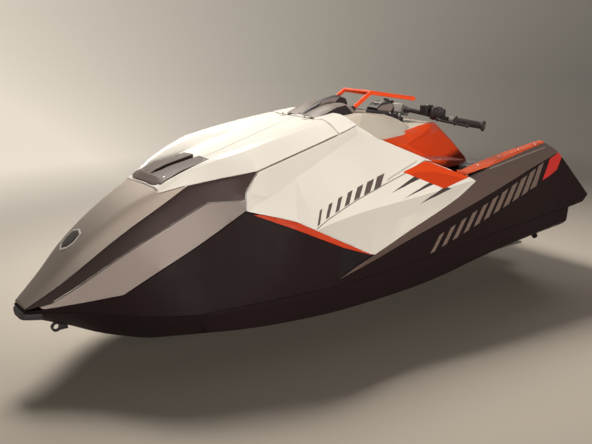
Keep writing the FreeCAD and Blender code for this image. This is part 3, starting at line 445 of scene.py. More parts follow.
def panel_marks_and_shade(tree, tone):
    """Painted shade on two facets, a thin line, a row of slanted bars, a short bar and three dark blades
    on a side panel.
    """
    # painted shade: the lower tail facet darker, and the shoulder facet a little darker
    tone = drawn(tree, tone, SHADED_PANEL_TAIL, PANEL_SHADE_TONE, 0.34)
    tone = drawn(tree, tone, SHADED_PANEL_SHOULDER, PANEL_SHADE_TONE, 0.12)
    for start, end in bar_row(*PANEL_BARS):
        tone = drawn(tree, tone, slanted_bar(end, start, *PANEL_LINES, BAR_LEAN), INK)
    tone = drawn(tree, tone, slanted_bar(-0.205, -0.022, *SHORT_BAR, 0.004), INK, 0.4)
    for start, end in PANEL_RUNS:
        above = [(x, z + RUN_HEIGHT) for x, z in (end, start)]
        tone = drawn(tree, tone, [start, end, *above], INK, 0.85)
    for blade in BLADES:
        tone = drawn(tree, tone, blade, DARK_INK)
    return drawn(tree, tone, PANEL_FOOT, FOOT_BLACK)


def side_marks(tree, tone):
    """A row of slanted bars along a topside; the last, wide one is red."""
    for start, end in bar_row(*SIDE_BARS):
        tone = drawn(tree, tone, slanted_bar(end, start, *SIDE_LINES, BAR_LEAN), SIDE_INK)
    return drawn(tree, tone, slanted_bar(-1.160, -1.022, *LAST_BAR, BAR_LEAN), RED_INK)


def band_marks(tree, tone):
    """The band darkens towards the rail, and carries one fine line under it."""
    x, _, z = tree.axes()
    rise = (z + x * 0.145).between(0.262, 0.345)
    tone = tree.mix(rise * x.between(-0.36, -0.46), tone, BAND_TONE)
    return drawn(tree, tone, BAND_LINE, PALE_INK, 0.5)


def looks_of(craft):
    """Every finish of the craft, by name."""
    black, orange, white, silver = map(tuple, (craft.black, craft.orange, craft.white, craft.silver))

    def moulded_orange(name, marks=None):
        return gelcoat(name, orange, 0.45, 0.0, marks, 0.015, 0.18)

    return {
        "white": gelcoat("white_gelcoat", white, 0.36, 0.12),
        # the side panels' white carries print and painted shade
        "white_marked_shaded": gelcoat("white_marked_shaded", white, 0.38, 0.1, panel_marks_and_shade),
        "deck_white": gelcoat("deck_gelcoat", shade(white, 0.9)[:3], 0.5, 0.0, deck_marks, 0.1, 0.1),
        "black": gelcoat("black_gelcoat", black, 0.5, 0.0, None, 0.006, 0.05),
        "black_marked": gelcoat("black_marked", black, 0.5, 0.0, side_marks, 0.006, 0.05),
        "orange": moulded_orange("orange_gelcoat"),
        # the fairing's and the insert's gelcoats carry painted shade on their darker facets
        "fairing": moulded_orange("fairing_gelcoat", fairing_painted_shade),
        "insert": moulded_orange("insert_gelcoat", insert_painted_shade),
        "accent": gelcoat("accent_gelcoat", (0.44, 0.040, 0.012), 0.5, 0.0, None, 0.015, 0.12),
        "rail": gelcoat("rail_gelcoat", (0.56, 0.088, 0.032), 0.55, 0.0, None, 0.03, 0.12),
        "console": gelcoat("console_paint", (0.50, 0.445, 0.37), 0.5, 0.05),
        "silver": metallic_paint("silver_paint", silver, 0.15, 0.58, fade=(0.80, 1.25, 0.85)),
        "flank": metallic_paint("flank_paint", (0.34, 0.28, 0.26), 0.3, 0.46, fade=(1.0, 0.6, 0.62)),
        "stripe": metallic_paint("stripe_paint", (0.055, 0.034, 0.033), 0.2, 0.46,
                                 fade=(0.75, 1.3, 0.7)),
        "band": metallic_paint("band_paint", (0.095, 0.064, 0.055), 0.2, 0.46, band_marks),
        "trim": moulded_plastic("trim_plastic", (0.018, 0.0135, 0.0145), 0.48, wear=0.22),
        "scoop": moulded_plastic("scoop_plastic", (0.090, 0.064, 0.055), 0.40),
        "pale_trim": moulded_plastic("pale_trim_plastic", (0.20, 0.165, 0.145), 0.40, wear=0.1),
        "rubber": rubber("black_rubber", (0.022, 0.019, 0.020)),
        "grip": rubber("grip_rubber", (0.013, 0.0095, 0.0105), 0.66, 900.0),
        "mat": foam("deck_foam", (0.050, 0.046, 0.046)),
        "seat": vinyl("seat_vinyl", (0.030, 0.027, 0.028)),
        "seat_side": vinyl("seat_side_vinyl", (0.052, 0.046, 0.045), 0.5),
        "thread": thread("seat_thread", (0.42, 0.10, 0.04)),
        "alloy": bare_metal("anodised_alloy", (0.20, 0.19, 0.18), 0.5),
        "cast": bare_metal("cast_alloy", (0.30, 0.30, 0.31), 0.48, grain=90.0),
        "steel": bare_metal("brushed_steel", (0.46, 0.45, 0.44), 0.3, (1, 8, 8)),
        "engine": bare_metal("cast_block", (0.2, 0.2, 0.2), 0.6),
        "glass": screen_glass("instrument_glass"),
        "lit": lit_marks("instrument_marks", (0.55, 0.62, 0.60)),
        "red": moulded_plastic("red_button_plastic", (0.55, 0.03, 0.02), 0.35),
        "green": moulded_plastic("green_button_plastic", (0.03, 0.28, 0.07), 0.35),
    }


class Looks:
    """The finishes, made once and shared by all the operators."""

    made = {}

    @classmethod
    def of(cls, name):
        if not cls.made:
            cls.made.update(looks_of(bpy.context.scene.watercraft))
        return cls.made[name]


# ---- mesh work ----------------------------------------------------------------------------
def new_object(name, mesh):
    piece = bpy.data.objects.new(name, mesh)
    bpy.context.scene.collection.objects.link(piece)
    return piece


def place_piece(name, work, look, body="craft", smooth=35.0):
    """Makes an object of a bmesh and lets it ride on a body of the craft."""
    mesh = bpy.data.meshes.new(name)
    bmesh.ops.recalc_face_normals(work, faces=work.faces)
    work.to_mesh(mesh)
    work.free()
    mesh.shade_smooth()
    mesh.set_sharp_from_angle(angle=math.radians(smooth))
    mesh.materials.append(Looks.of(look))
    piece = new_object(name, mesh)
    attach(piece, body)
    return piece


def divided(work, longest):
    """Splits a mesh's faces until no edge is longer than a length."""
    for _ in range(6):
        lines = [line for line in work.edges if line.calc_length() > longest]
        if not lines:
            break
        bmesh.ops.subdivide_edges(work, edges=lines, cuts=1)
        bmesh.ops.triangulate(work, faces=[face for face in work.faces if len(face.verts) > 3])


def softened(mesh, reach, limit):
    """Turns each corner's normal to the mean of the faces round it, up to a limit in degrees."""
    faces = mesh.polygons
    middles = KDTree(len(faces))
    for face in faces:
        middles.insert(face.center, face.index)
    middles.balance()
    facing = math.cos(math.radians(limit))
    weighed = [(face.normal.copy(), face.normal * face.area) for face in faces]
    near = [[weighed[index] for _, index, _ in middles.find_range(corner.co, reach)]
            for corner in mesh.vertices]
    normals = []
    for face, (own, _) in zip(faces, weighed):
        for corner in face.vertices:
            mean = sum((weight for normal, weight in near[corner] if normal.dot(own) > facing), Vector())
            normals.append(mean.normalized() if mean.length else own)
    mesh.normals_split_custom_set(normals)


WELD = 0.02 * MM            # corners nearer than this are one corner
FLAT = 0.25                 # neighbouring facets turned by fewer degrees are one facet
SHARP = 38.0                # edges turned by more degrees get a rounded edge
WEIGHT = 90                 # how far the larger facets decide a corner's normal


def skin(node, look, crease, edge, parts=(), soft=0.0, splits=()):
    """Stands a finished piece in for a CAD node: rounded edges, and smooth up to a crease angle.

    The crease is in degrees and the edge's radius in millimetres. Each of the parts is another
    look and a test of a face's middle and normal that it goes on, and the splits are planes that
    faces are divided at first. Soft is how far round itself a corner takes its normal from."""
    work = bmesh.new()
    work.from_mesh(frame["nodes"][node].data)
    bmesh.ops.remove_doubles(work, verts=work.verts, dist=WELD)
    bmesh.ops.dissolve_degenerate(work, edges=work.edges, dist=WELD / 2)
    bmesh.ops.dissolve_limit(work, angle_limit=math.radians(FLAT), verts=work.verts, edges=work.edges)
    for place, normal in splits:
        bmesh.ops.bisect_plane(work, geom=work.verts[:] + work.edges[:] + work.faces[:],
                               plane_co=place, plane_no=normal)
    for edge_line in work.edges:
        turn = edge_line.calc_face_angle(0.0) if len(edge_line.link_faces) == 2 else 0.0
        edge_line.smooth = turn < math.radians(crease)
    if edge:
        rim = [line for line in work.edges if len(line.link_faces) == 2
               and line.calc_face_angle() > math.radians(SHARP)
               and line.calc_length() > 2.5 * edge * MM]
        made = bmesh.ops.bevel(work, geom=rim, offset=edge * MM, offset_type="OFFSET", segments=2,
                               profile=0.6, affect="EDGES", clamp_overlap=False)
        for face in made["faces"]:
            for line in face.edges:
                line.smooth = True
    for face in work.faces:
        face.smooth = True
    bmesh.ops.triangulate(work, faces=[face for face in work.faces if len(face.verts) > 4])
    if soft:
        divided(work, soft * 0.75)
    mesh = bpy.data.meshes.new(node + "_skin")
    looks = [look] + [part[0] for part in parts]
    for index, (_, test) in enumerate(parts):
        for face in work.faces:
            if test(face.calc_center_median(), face.normal):
                face.material_index = index + 1
    work.to_mesh(mesh)
    work.free()
    for name in looks:
        mesh.materials.append(Looks.of(name))
    piece = new_object(node + "_finish", mesh)
    if soft:
        softened(mesh, soft, crease)
    else:
        weigh = piece.modifiers.new("weighted_normals", "WEIGHTED_NORMAL")
        weigh.keep_sharp = True
        weigh.weight = WEIGHT
    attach(piece, BODY_OF[node])
    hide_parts(node)
    return piece


def across(axis):
    """Two directions square to an axis and to each other."""
    axis = Vector(axis).normalized()
    first = axis.cross(UP if abs(axis.z) < 0.9 else AHEAD).normalized()
    return first, axis.cross(first).normalized()


def turned_ring(work, centre, axis, radius, count, lobes=None):
    first, second = across(axis)
    ring = []
    for index in range(count):
        angle = math.tau * index / count
        reach = radius * (lobes(angle) if lobes else 1.0)
        out = first * math.cos(angle) + second * math.sin(angle)
        ring.append(work.verts.new(centre + out * reach))
    return ring


def bridged(work, rings, capped=True):
    """Faces between rings of corners, and over the first and last."""
    for here, there in zip(rings, rings[1:]):
        count = len(here)
        for index in range(count):
            after = (index + 1) % count
            work.faces.new((here[index], here[after], there[after], there[index]))
    if capped:
        work.faces.new(rings[0][::-1])
        work.faces.new(rings[-1])


def lathe(work, place, axis, profile, count=24, lobes=None):
    """A turned form: pairs of a height along an axis and a radius. Lobes shape the last rings."""
    place, axis = Vector(place), Vector(axis).normalized()
    rings = []
    for height, radius, *shaped in profile:
        rings.append(turned_ring(work, place + axis * height, axis, radius, count,
                                 lobes if shaped else None))
    bridged(work, rings)


def hexagon(angle):
    """How far a hexagon reaches at an angle, as a share of its corner's reach."""
    turn = (angle + math.pi / 6) % (math.pi / 3) - math.pi / 6
    return math.cos(math.pi / 6) / math.cos(math.pi / 6 - abs(turn))


def socket_screw(work, place, axis, radius):
    """A button-head screw with a six-sided socket."""
    profile = ((-0.4 * radius, radius * 0.98), (0.12 * radius, radius), (0.34 * radius, radius * 0.86),
               (0.46 * radius, radius * 0.62), (0.46 * radius, radius * 0.5, True),
               (0.12 * radius, radius * 0.46, True))
    lathe(work, place, axis, profile, 24, hexagon)


def hex_bolt(work, place, axis, radius):
    """A hexagon bolt on a round washer."""
    profile = ((-0.2 * radius, radius * 1.5), (0.14 * radius, radius * 1.5),
               (0.18 * radius, radius * 1.42), (0.18 * radius, radius, True),
               (0.72 * radius, radius, True), (0.86 * radius, radius * 0.84),
               (0.86 * radius, radius * 0.3))
    lathe(work, place, axis, profile, 24, hexagon)


def turned(name, look, forms, body="craft", smooth=35.0, slot=None):
    """A piece of turned forms: for each its place, axis, profile, corners round it and lobes."""
    work = bmesh.new()
    for form in forms:
        lathe(work, *form)
    return place_piece(name, work, look, body, smooth)


def screws(name, heads, body="craft"):
    """A piece of button-head screws: for each its place and the way it faces, and its radius."""
    work = bmesh.new()
    for (place, normal), radius in heads:
        socket_screw(work, place, normal, radius)
    return place_piece(name, work, "steel", body)


def rounded_block(work, centre, size, turn=None, edge=0.002, steps=2):
    """A block with rounded edges."""
    made = bmesh.ops.create_cube(work, size=1.0)["verts"]
    for corner in made:
        corner.co = Vector(corner.co[i] * size[i] for i in range(3))
    lines = list({line for corner in made for line in corner.link_edges})
    made = bmesh.ops.bevel(work, geom=lines, offset=edge, offset_type="OFFSET", segments=steps,
                           profile=0.5, affect="EDGES", clamp_overlap=True)["verts"]
    matrix = Matrix.Translation(centre) @ (turn.to_4x4() if turn else Matrix.Identity(4))
    bmesh.ops.transform(work, matrix=matrix, verts=made)


class Surface:
    """Finds places on the outside of CAD nodes."""

    def __init__(self, *nodes):
        corners, faces = [], []
        for node in nodes:
            mesh = frame["nodes"][node].data
            first = len(corners)
            corners += [vertex.co.copy() for vertex in mesh.vertices]
            faces += [[first + index for index in face.vertices] for face in mesh.polygons]
        self.tree = BVHTree.FromPolygons(corners, faces)

    def hit(self, origin, direction):
        place, normal, _, _ = self.tree.ray_cast(Vector(origin), Vector(direction))
        if place is None:
            raise RuntimeError("no surface under (%.3f, %.3f, %.3f)" % tuple(origin))
        return place, normal

    def above(self, x, y):
        return self.hit((x, y, 2.0), -UP)

    def beside(self, x, z, side=1):
        return self.hit((x, side * 2.0, z), -PORT * side)


# ---- settings -----------------------------------------------------------------------------
class CraftSettings(bpy.types.PropertyGroup):
    white: FloatVectorProperty(name="White", description="Hood and side panels", subtype="COLOR",
                               default=(0.80, 0.765, 0.70))
    black: FloatVectorProperty(name="Black", description="Hull and topsides", subtype="COLOR",
                               default=(0.0135, 0.0080, 0.0088))
    orange: FloatVectorProperty(name="Orange", description="Trim panels, rails and hoop",
                                subtype="COLOR", default=(0.70, 0.064, 0.010))
    silver: FloatVectorProperty(name="Silver", description="Nose spine", subtype="COLOR",
                                default=(0.46, 0.39, 0.34))


class SaddleSettings(bpy.types.PropertyGroup):
    pressure: FloatProperty(name="Pressure", description="How hard the cushion is stuffed", default=4.0)
    reach: FloatProperty(name="Swell", description="The most that the cover moves as it fills",
                         default=9.0 * MM, unit="LENGTH")
    frames: IntProperty(name="Frames", description="Length of the filling", default=20)
    rib: FloatProperty(name="Mat rib", description="Pitch of the ribs of the deck mats",
                       default=13.0 * MM, unit="LENGTH")


class StageSettings(bpy.types.PropertyGroup):
    floor: FloatVectorProperty(name="Floor", description="Colour of the floor", subtype="COLOR",
                               default=(0.60, 0.54, 0.465))
    gap: FloatProperty(name="Floor gap", description="From the keel down to the floor", unit="LENGTH",
                       default=0.03)
    show_floor: BoolProperty(name="Show floor", description="Lay the floor under the craft",
                             default=True)


# ---- operators ----------------------------------------------------------------------------
class WATERCRAFT_OT_hull(bpy.types.Operator):
    """Finishes the hull, the topsides, the deck moulding and the bumper"""

    bl_idname = "watercraft.hull"
    bl_label = "Hull and deck"

    DRAIN = Vector((-1.286, 0.245, -0.085))
    PLUG = ((-0.004, 0.017), (0.004, 0.017), (0.0055, 0.0155), (0.0055, 0.011, True),
            (0.014, 0.0105, True), (0.0155, 0.009, True))

    def execute(self, context):
        skin("hull", "black", 20, 2.0)
        for side in ("left", "right"):
            skin("topside_" + side, "black_marked", 25, 1.6, soft=0.07)
            skin("gunwale_" + side, "black", 20, 3.0)
        skin("foredeck", "deck_white", 16, 1.2)
        skin("cockpit_floor", "black", 20, 2.0)
        skin("saddle_plinth", "black", 20, 5.0)
        skin("engine", "engine", 20, 6.0)
        skin("bow_bumper", "rubber", 30, 1.6)
        self.drains()
        return {"FINISHED"}

    def drains(self):
        """Two drain plugs low on the transom, with a six-lobed grip."""
        def lobed(angle):
            return 1.0 - 0.16 * math.cos(3 * angle) ** 2

        turned("drain_plugs", "trim", [(place, -AHEAD, self.PLUG, 36, lobed)
                                       for place in (self.DRAIN, self.DRAIN * MIRROR)], smooth=40)


class WATERCRAFT_OT_panels(bpy.types.Operator):
    """Finishes the nose, the hatch, the side panels, the bands and the rails"""

    bl_idname = "watercraft.panels"
    bl_label = "Body panels"

    # the badge plate: its middle, its port half in plan, which way it faces, and for each layer its
    # share of the outline, the heights of its foot and its face, and its look
    BADGE = 1.212
    OUTLINE = ((0.046, 0.0), (0.030, 0.034), (0.004, 0.047), (-0.030, 0.040), (-0.040, 0.0))
    OUTWARDS = Vector((0.55, 0, 0.83))
    LAYERS = (("badge_rim", 1.0, -0.001, 0.0022, "steel"), ("badge_face", 0.84, 0.0, 0.0030, "trim"))

    def execute(self, context):
        skin("nose_cowl", "silver", 20, 1.4)
        skin("front_hatch", "white", 11, 1.4)
        skin("hood_cowl", "white", 11, 1.4)
        skin("hatch_hinges", "pale_trim", 30, 0.0)
        for side in ("left", "right"):
            skin("nose_stripe_" + side, "stripe", 18, 1.4)
            skin("bow_flank_" + side, "flank", 14, 1.4)
            skin("side_panel_" + side, "white_marked_shaded", 13, 1.4)
            skin("side_insert_" + side, "insert", 6, 1.4)
            skin("accent_strip_" + side, "accent", 18, 1.4)
            skin("gunwale_band_" + side, "band", 12, 1.4)
            skin("gunwale_rail_" + side, "rail", 24, 2.5)
        self.badge()
        return {"FINISHED"}

    def badge(self):
        """A bare plate on the nose, bent to it: a pale rim round a dark face."""
        nose = Surface("nose_cowl")
        outline = [*self.OUTLINE, *((x, -y) for x, y in self.OUTLINE[-2:0:-1])]
        for name, scale, low, high, look in self.LAYERS:
            work = bmesh.new()
            rings = []
            for share, lift in ((scale, low), (scale, high - 0.0006), (scale * 0.96, high),
                                (scale * 0.5, high)):
                ring = []
                for (x0, y0), (x1, y1) in zip(outline, outline[1:] + outline[:1]):
                    for step in range(5):
                        x, y = x0 + (x1 - x0) * step / 5, y0 + (y1 - y0) * step / 5
                        place, _ = nose.above(self.BADGE + x * share, y * share)
                        ring.append(work.verts.new(place + self.OUTWARDS * lift))
                rings.append(ring)
            bridged(work, rings)
            place_piece(name, work, look, smooth=30)


class WATERCRAFT_OT_upper_works(bpy.types.Operator):
    """Finishes the scoop, the dash pod, the console, the knee fairing and the guard hoop"""

    bl_idname = "watercraft.upper_works"
    bl_label = "Upper works"

    # the instrument face: its outline across the craft and upwards, the level it shrinks to, how
    # many strokes the dial has and how thick the print is
    FACE = ((0.041, 0.694), (0.041, 0.708), (0.030, 0.7265), (-0.030, 0.7265), (-0.041, 0.708),
            (-0.041, 0.694))
    FACE_LEVEL = 0.709
    STROKES = 17
    PRINT = 0.0006
    KNOB_RING = ((-0.002, 0.030), (0.004, 0.030), (0.006, 0.028), (0.006, 0.024), (0.003, 0.022),
                 (0.003, 0.004))
    FLANGE = ((-0.003, 0.017), (0.004, 0.017), (0.007, 0.0145), (0.012, 0.0108), (0.012, 0.0096))

    def execute(self, context):
        skin("air_scoop", "scoop", 14, 1.6)
        skin("console", "console", 9, 2.0, parts=[("trim", self.console_top)])
        # the pale trim on the pod's upward faces is a painted highlight on its top
        skin("dash_pod", "trim", 16, 1.2, parts=[("pale_trim", self.pod_lit_top)])
        skin("dash_display", "trim", 20, 1.6, parts=[("pale_trim", self.display_side)])
        self.fairing()
        skin("guard_hoop", "orange", 40, 0.0)
        self.instruments()
        self.hoop_feet()
        return {"FINISHED"}

    def console_top(self, place, normal):
        return abs(place.y) < 0.1045 and place.z > 0.63

    # the faces of the pod that look up: a painted highlight on its top
    def pod_lit_top(self, place, normal):
        return normal.z > 0.55 and abs(place.y) > 0.02 and place.x > -0.1235

    def display_side(self, place, normal):
        return abs(place.y) > 0.0385 and place.z > 0.66 and normal.z < 0.4

    def fairing(self):
        """The knee fairing, orange aft of its crown and below a line on from the console's edge."""
        edge, out = Vector((-0.325, 0.218, 0.577)), Vector((-0.269, 0.750, -0.604))
        crown = Vector((-0.569, 0.0, 0.0))

        def grey(place, normal):
            port = Vector((place.x, abs(place.y), place.z))
            return place.x > crown.x and (port - edge).dot(out) < 0.0

        splits = [(edge, out), (edge * MIRROR, out * MIRROR), (crown, AHEAD)]
        skin("knee_fairing", "fairing", 12, 2.0, splits=splits, parts=[("console", grey)])

    def instruments(self):
        """The instrument face on the rear of the binnacle, and a ring round the display's knob."""
        back = Surface("dash_pod").hit((-0.6, 0.0, 0.712), AHEAD)[0].x

        def plate(name, look, *rings):
            """A plate of the face's outline: for each ring its share of it and how far out it is."""
            work = bmesh.new()
            level = self.FACE_LEVEL
            bridged(work, [[work.verts.new((back - out, y * share, level + (z - level) * share))
                            for y, z in self.FACE] for share, out in rings])
            place_piece(name, work, look, smooth=30)

        plate("instrument_bezel", "trim",
              (1.12, -0.001), (1.12, 0.003), (1.05, 0.005), (0.98, 0.005), (0.95, 0.0028))
        plate("instrument_glass", "glass", (0.945, 0.0), (0.945, 0.0032), (0.93, 0.0036))
        work = bmesh.new()
        middle = Vector((back - 0.0042, 0.0, 0.7085))
        for index in range(self.STROKES):
            angle = math.radians(-20 + 220 * index / (self.STROKES - 1))
            reach, long = (0.0105, 0.0014) if index % 4 else (0.0095, 0.0030)
            out = Vector((0.0, math.cos(angle), math.sin(angle)))
            rounded_block(work, middle + out * (reach + long / 2), (self.PRINT, long, 0.0008),
                          Matrix.Rotation(angle, 3, "X"), 0.0001, 1)
        for row in range(3):
            for side in (1, -1):
                rounded_block(work, middle + Vector((0.0, side * 0.0255, row * 0.0055 - 0.0065)),
                              (self.PRINT, 0.013 - row * 0.002, 0.0022), None, 0.0002, 1)
        needle = Matrix.Rotation(math.radians(128), 3, "X")
        rounded_block(work, middle + Vector((-0.0002, -0.0022, 0.0028)), (self.PRINT, 0.0095, 0.0009),
                      needle, 0.0001, 1)
        place_piece("instrument_marks", work, "lit", smooth=30)
        knob = Surface("dash_display").above(-0.364, 0.0)
        turned("display_ring", "alloy", [(*knob, self.KNOB_RING, 40)], smooth=30)

    def hoop_feet(self):
        """Flanges where the legs of the hoop stand on the dash pod."""
        ground = Surface("dash_pod", "console")
        forms = []
        for side in (1, -1):
            foot = Vector((-0.080, side * 0.097, 0.665))
            corner = Vector((-0.226, side * 0.096, 0.752))
            leg = (corner - foot).normalized()
            place, _ = ground.hit(corner, -leg)
            forms.append((place - leg * 0.002, leg, self.FLANGE, 28))
        turned("hoop_flanges", "trim", forms)


class WATERCRAFT_OT_steering(bpy.types.Operator):
    """Finishes the column, the bar, the grips, the control pods and the levers"""

    bl_idname = "watercraft.steering"
    bl_label = "Steering"

    OUTER = Vector((-0.668, 0.384, 0.587))      # the bar's port end
    INNER = Vector((-0.600, 0.250, 0.607))      # a place further in along its straight run
    GRIP = 0.128                                # length of a grip
    POD = 0.092                                 # from a grip's inner end to the middle of its pod,
    PERCH = 0.058                               # and to the perch of its lever
    CLAMP = Vector((-0.500, 0, 0.641))          # where the bar crosses the column
    RAKE = math.radians(24)
    # turned forms, as heights and radii
    GRIP_FLANGE = ((-0.004, 0.0118), (-0.004, 0.0225), (-0.003, 0.024), (-0.001, 0.024),
                   (0.0005, 0.0222), (0.003, 0.0180))
    GRIP_END = ((-0.004, 0.0175), (0.0, 0.0235), (0.002, 0.025), (0.008, 0.025), (0.010, 0.0235),
                (0.010, 0.009))
    BAR_END = ((-0.003, 0.0095), (0.0012, 0.0095), (0.002, 0.008), (0.002, 0.004))
    SLEEVE = ((0.0, 0.0112), (0.0, 0.0150), (0.0015, 0.0165), (0.0245, 0.0165), (0.026, 0.0150),
              (0.026, 0.0112))
    RING = ((-0.003, 0.0304), (-0.003, 0.0316), (-0.002, 0.0322), (0.002, 0.0322), (0.003, 0.0316),
            (0.003, 0.0304))
    DIAL = ((0.0, 0.0215), (0.0070, 0.0215), (0.0092, 0.0195), (0.0092, 0.0160), (0.0060, 0.0150),
            (0.0060, 0.004))
    BUTTON = ((-0.002, 0.0072), (0.0022, 0.0072), (0.003, 0.0064), (0.0032, 0.0058),
              (0.0062, 0.0056), (0.0072, 0.0044), (0.0074, 0.0015))
    BUTTONS = ((-0.012, 0.35), (0.012, 0.35), (0.0, -0.25))     # how far along and up each one is
    LEVER_PIN = ((-0.0095, 0.0082), (-0.008, 0.0095), (0.008, 0.0095), (0.0095, 0.0082),
                 (0.0095, 0.0045), (0.0110, 0.0040), (0.0110, 0.001))

    def execute(self, context):
        skin("steering_column", "alloy", 25, 2.0)
        skin("steering_bearing", "trim", 30, 2.0)
        skin("handlebar", "trim", 40, 0.0)
        for node in ("brake_lever_left", "throttle_lever_right"):
            skin(node, "trim", 50, 0.0)
        for node in ("switch_pod_left", "throttle_pod_right"):
            skin(node, "trim", 30, 2.4)
        for side, name in SIDES:
            self.grip(side, name)
            self.pod(side, name)
            self.lever_end(side, name)
        self.clamp_screws()
        return {"FINISHED"}

    def line(self, side):
        """The outer end of the bar on a side, and the direction outwards along it."""
        mirror = Vector((1, side, 1))
        return self.OUTER * mirror, ((self.OUTER - self.INNER) * mirror).normalized()

    def grip(self, side, name):
        """A ribbed rubber grip between two flanges, the end of the bar and the sleeve inboard."""
        outer, run = self.line(side)
        inner = outer - run * self.GRIP
        profile = list(self.GRIP_FLANGE)
        at = 0.008
        while at < self.GRIP - 0.010:
            middle = abs(at / self.GRIP - 0.5) * 2
            swell = 0.0154 + 0.0006 * (1 - middle * middle)
            profile += [(at, swell), (at + 0.0008, swell + 0.0012), (at + 0.0034, swell + 0.0012),
                        (at + 0.0042, swell)]
            at += 0.0062
        profile += [(self.GRIP + height, radius) for height, radius in self.GRIP_END]
        piece = turned("ribbed_grip_" + name, "grip", [(inner, run, profile, 32)], "steering", 50)
        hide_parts("grip_" + name)
        for part, form in (("bar_end_", (outer + run * 0.0098, run, self.BAR_END)),
                           ("grip_sleeve_", (inner - run * 0.0340, run, self.SLEEVE, 32))):
            turned(part + name, "alloy", [form], "steering")

    def pod(self, side, name):
        """Rings, a dial and buttons on the control pod, and the screws of the reservoir beside it."""
        outer, run = self.line(side)
        middle = outer - run * (self.GRIP + self.POD) + UP * 0.016
        rise = run.cross(across(run)[0])
        if rise.z < 0:
            rise = -rise
        rear = run.cross(rise)
        if rear.x > 0:
            rear = -rear
        forms = [(middle + run * shift, run, self.RING, 48) for shift in (0.018, -0.018)]
        forms.append((middle + rise * 0.024, rise, self.DIAL, 48))
        turned("pod_rings_" + name, "trim", forms, "steering")
        colours = ("green", "red", "pale_trim") if side > 0 else ("pale_trim", "pale_trim", "red")
        for index, (look, (shift, lift)) in enumerate(zip(colours, self.BUTTONS)):
            out = (rear + rise * lift).normalized()
            turned("pod_button_%s_%d" % (name, index), look,
                   [(middle + run * shift + out * 0.0285, out, self.BUTTON, 28)], "steering")
        lid = middle - run * 0.056 + UP * 0.034
        screws("reservoir_screws_" + name, [((lid + (AHEAD + run * 0.6) * shift, UP), 0.0034)
                                            for shift in (0.014, -0.014)], "steering")

    def lever_end(self, side, name):
        """The ball at the tip of a lever and the pin that it turns on."""
        outer, run = self.line(side)
        perch = outer - run * (self.GRIP + self.PERCH)
        tip = perch + run * 0.150 + Vector((0.050, 0, -0.004))
        before = perch + run * 0.024 + Vector((0.056, 0, 0))
        ball = [(-0.0085 + 0.0017 * step, 0.0088 * math.sin(math.pi * (step + 0.35) / 10.7))
                for step in range(11)]
        forms = [(tip, tip - before, ball), (perch + Vector((0.044, 0, 0.002)), UP, self.LEVER_PIN)]
        turned("lever_ends_" + name, "trim", forms, "steering", 40, "metal")

    def clamp_screws(self):
        """The four screws of the bar's clamp."""
        axis = Vector((-math.sin(self.RAKE), 0, math.cos(self.RAKE)))
        ahead = Vector((math.cos(self.RAKE), 0, math.sin(self.RAKE)))
        top = self.CLAMP + axis * 0.024
        screws("clamp_screws", [((top + ahead * x + PORT * y, axis), 0.0048)
                                for x in (0.021, -0.021) for y in (0.026, -0.026)], "steering")


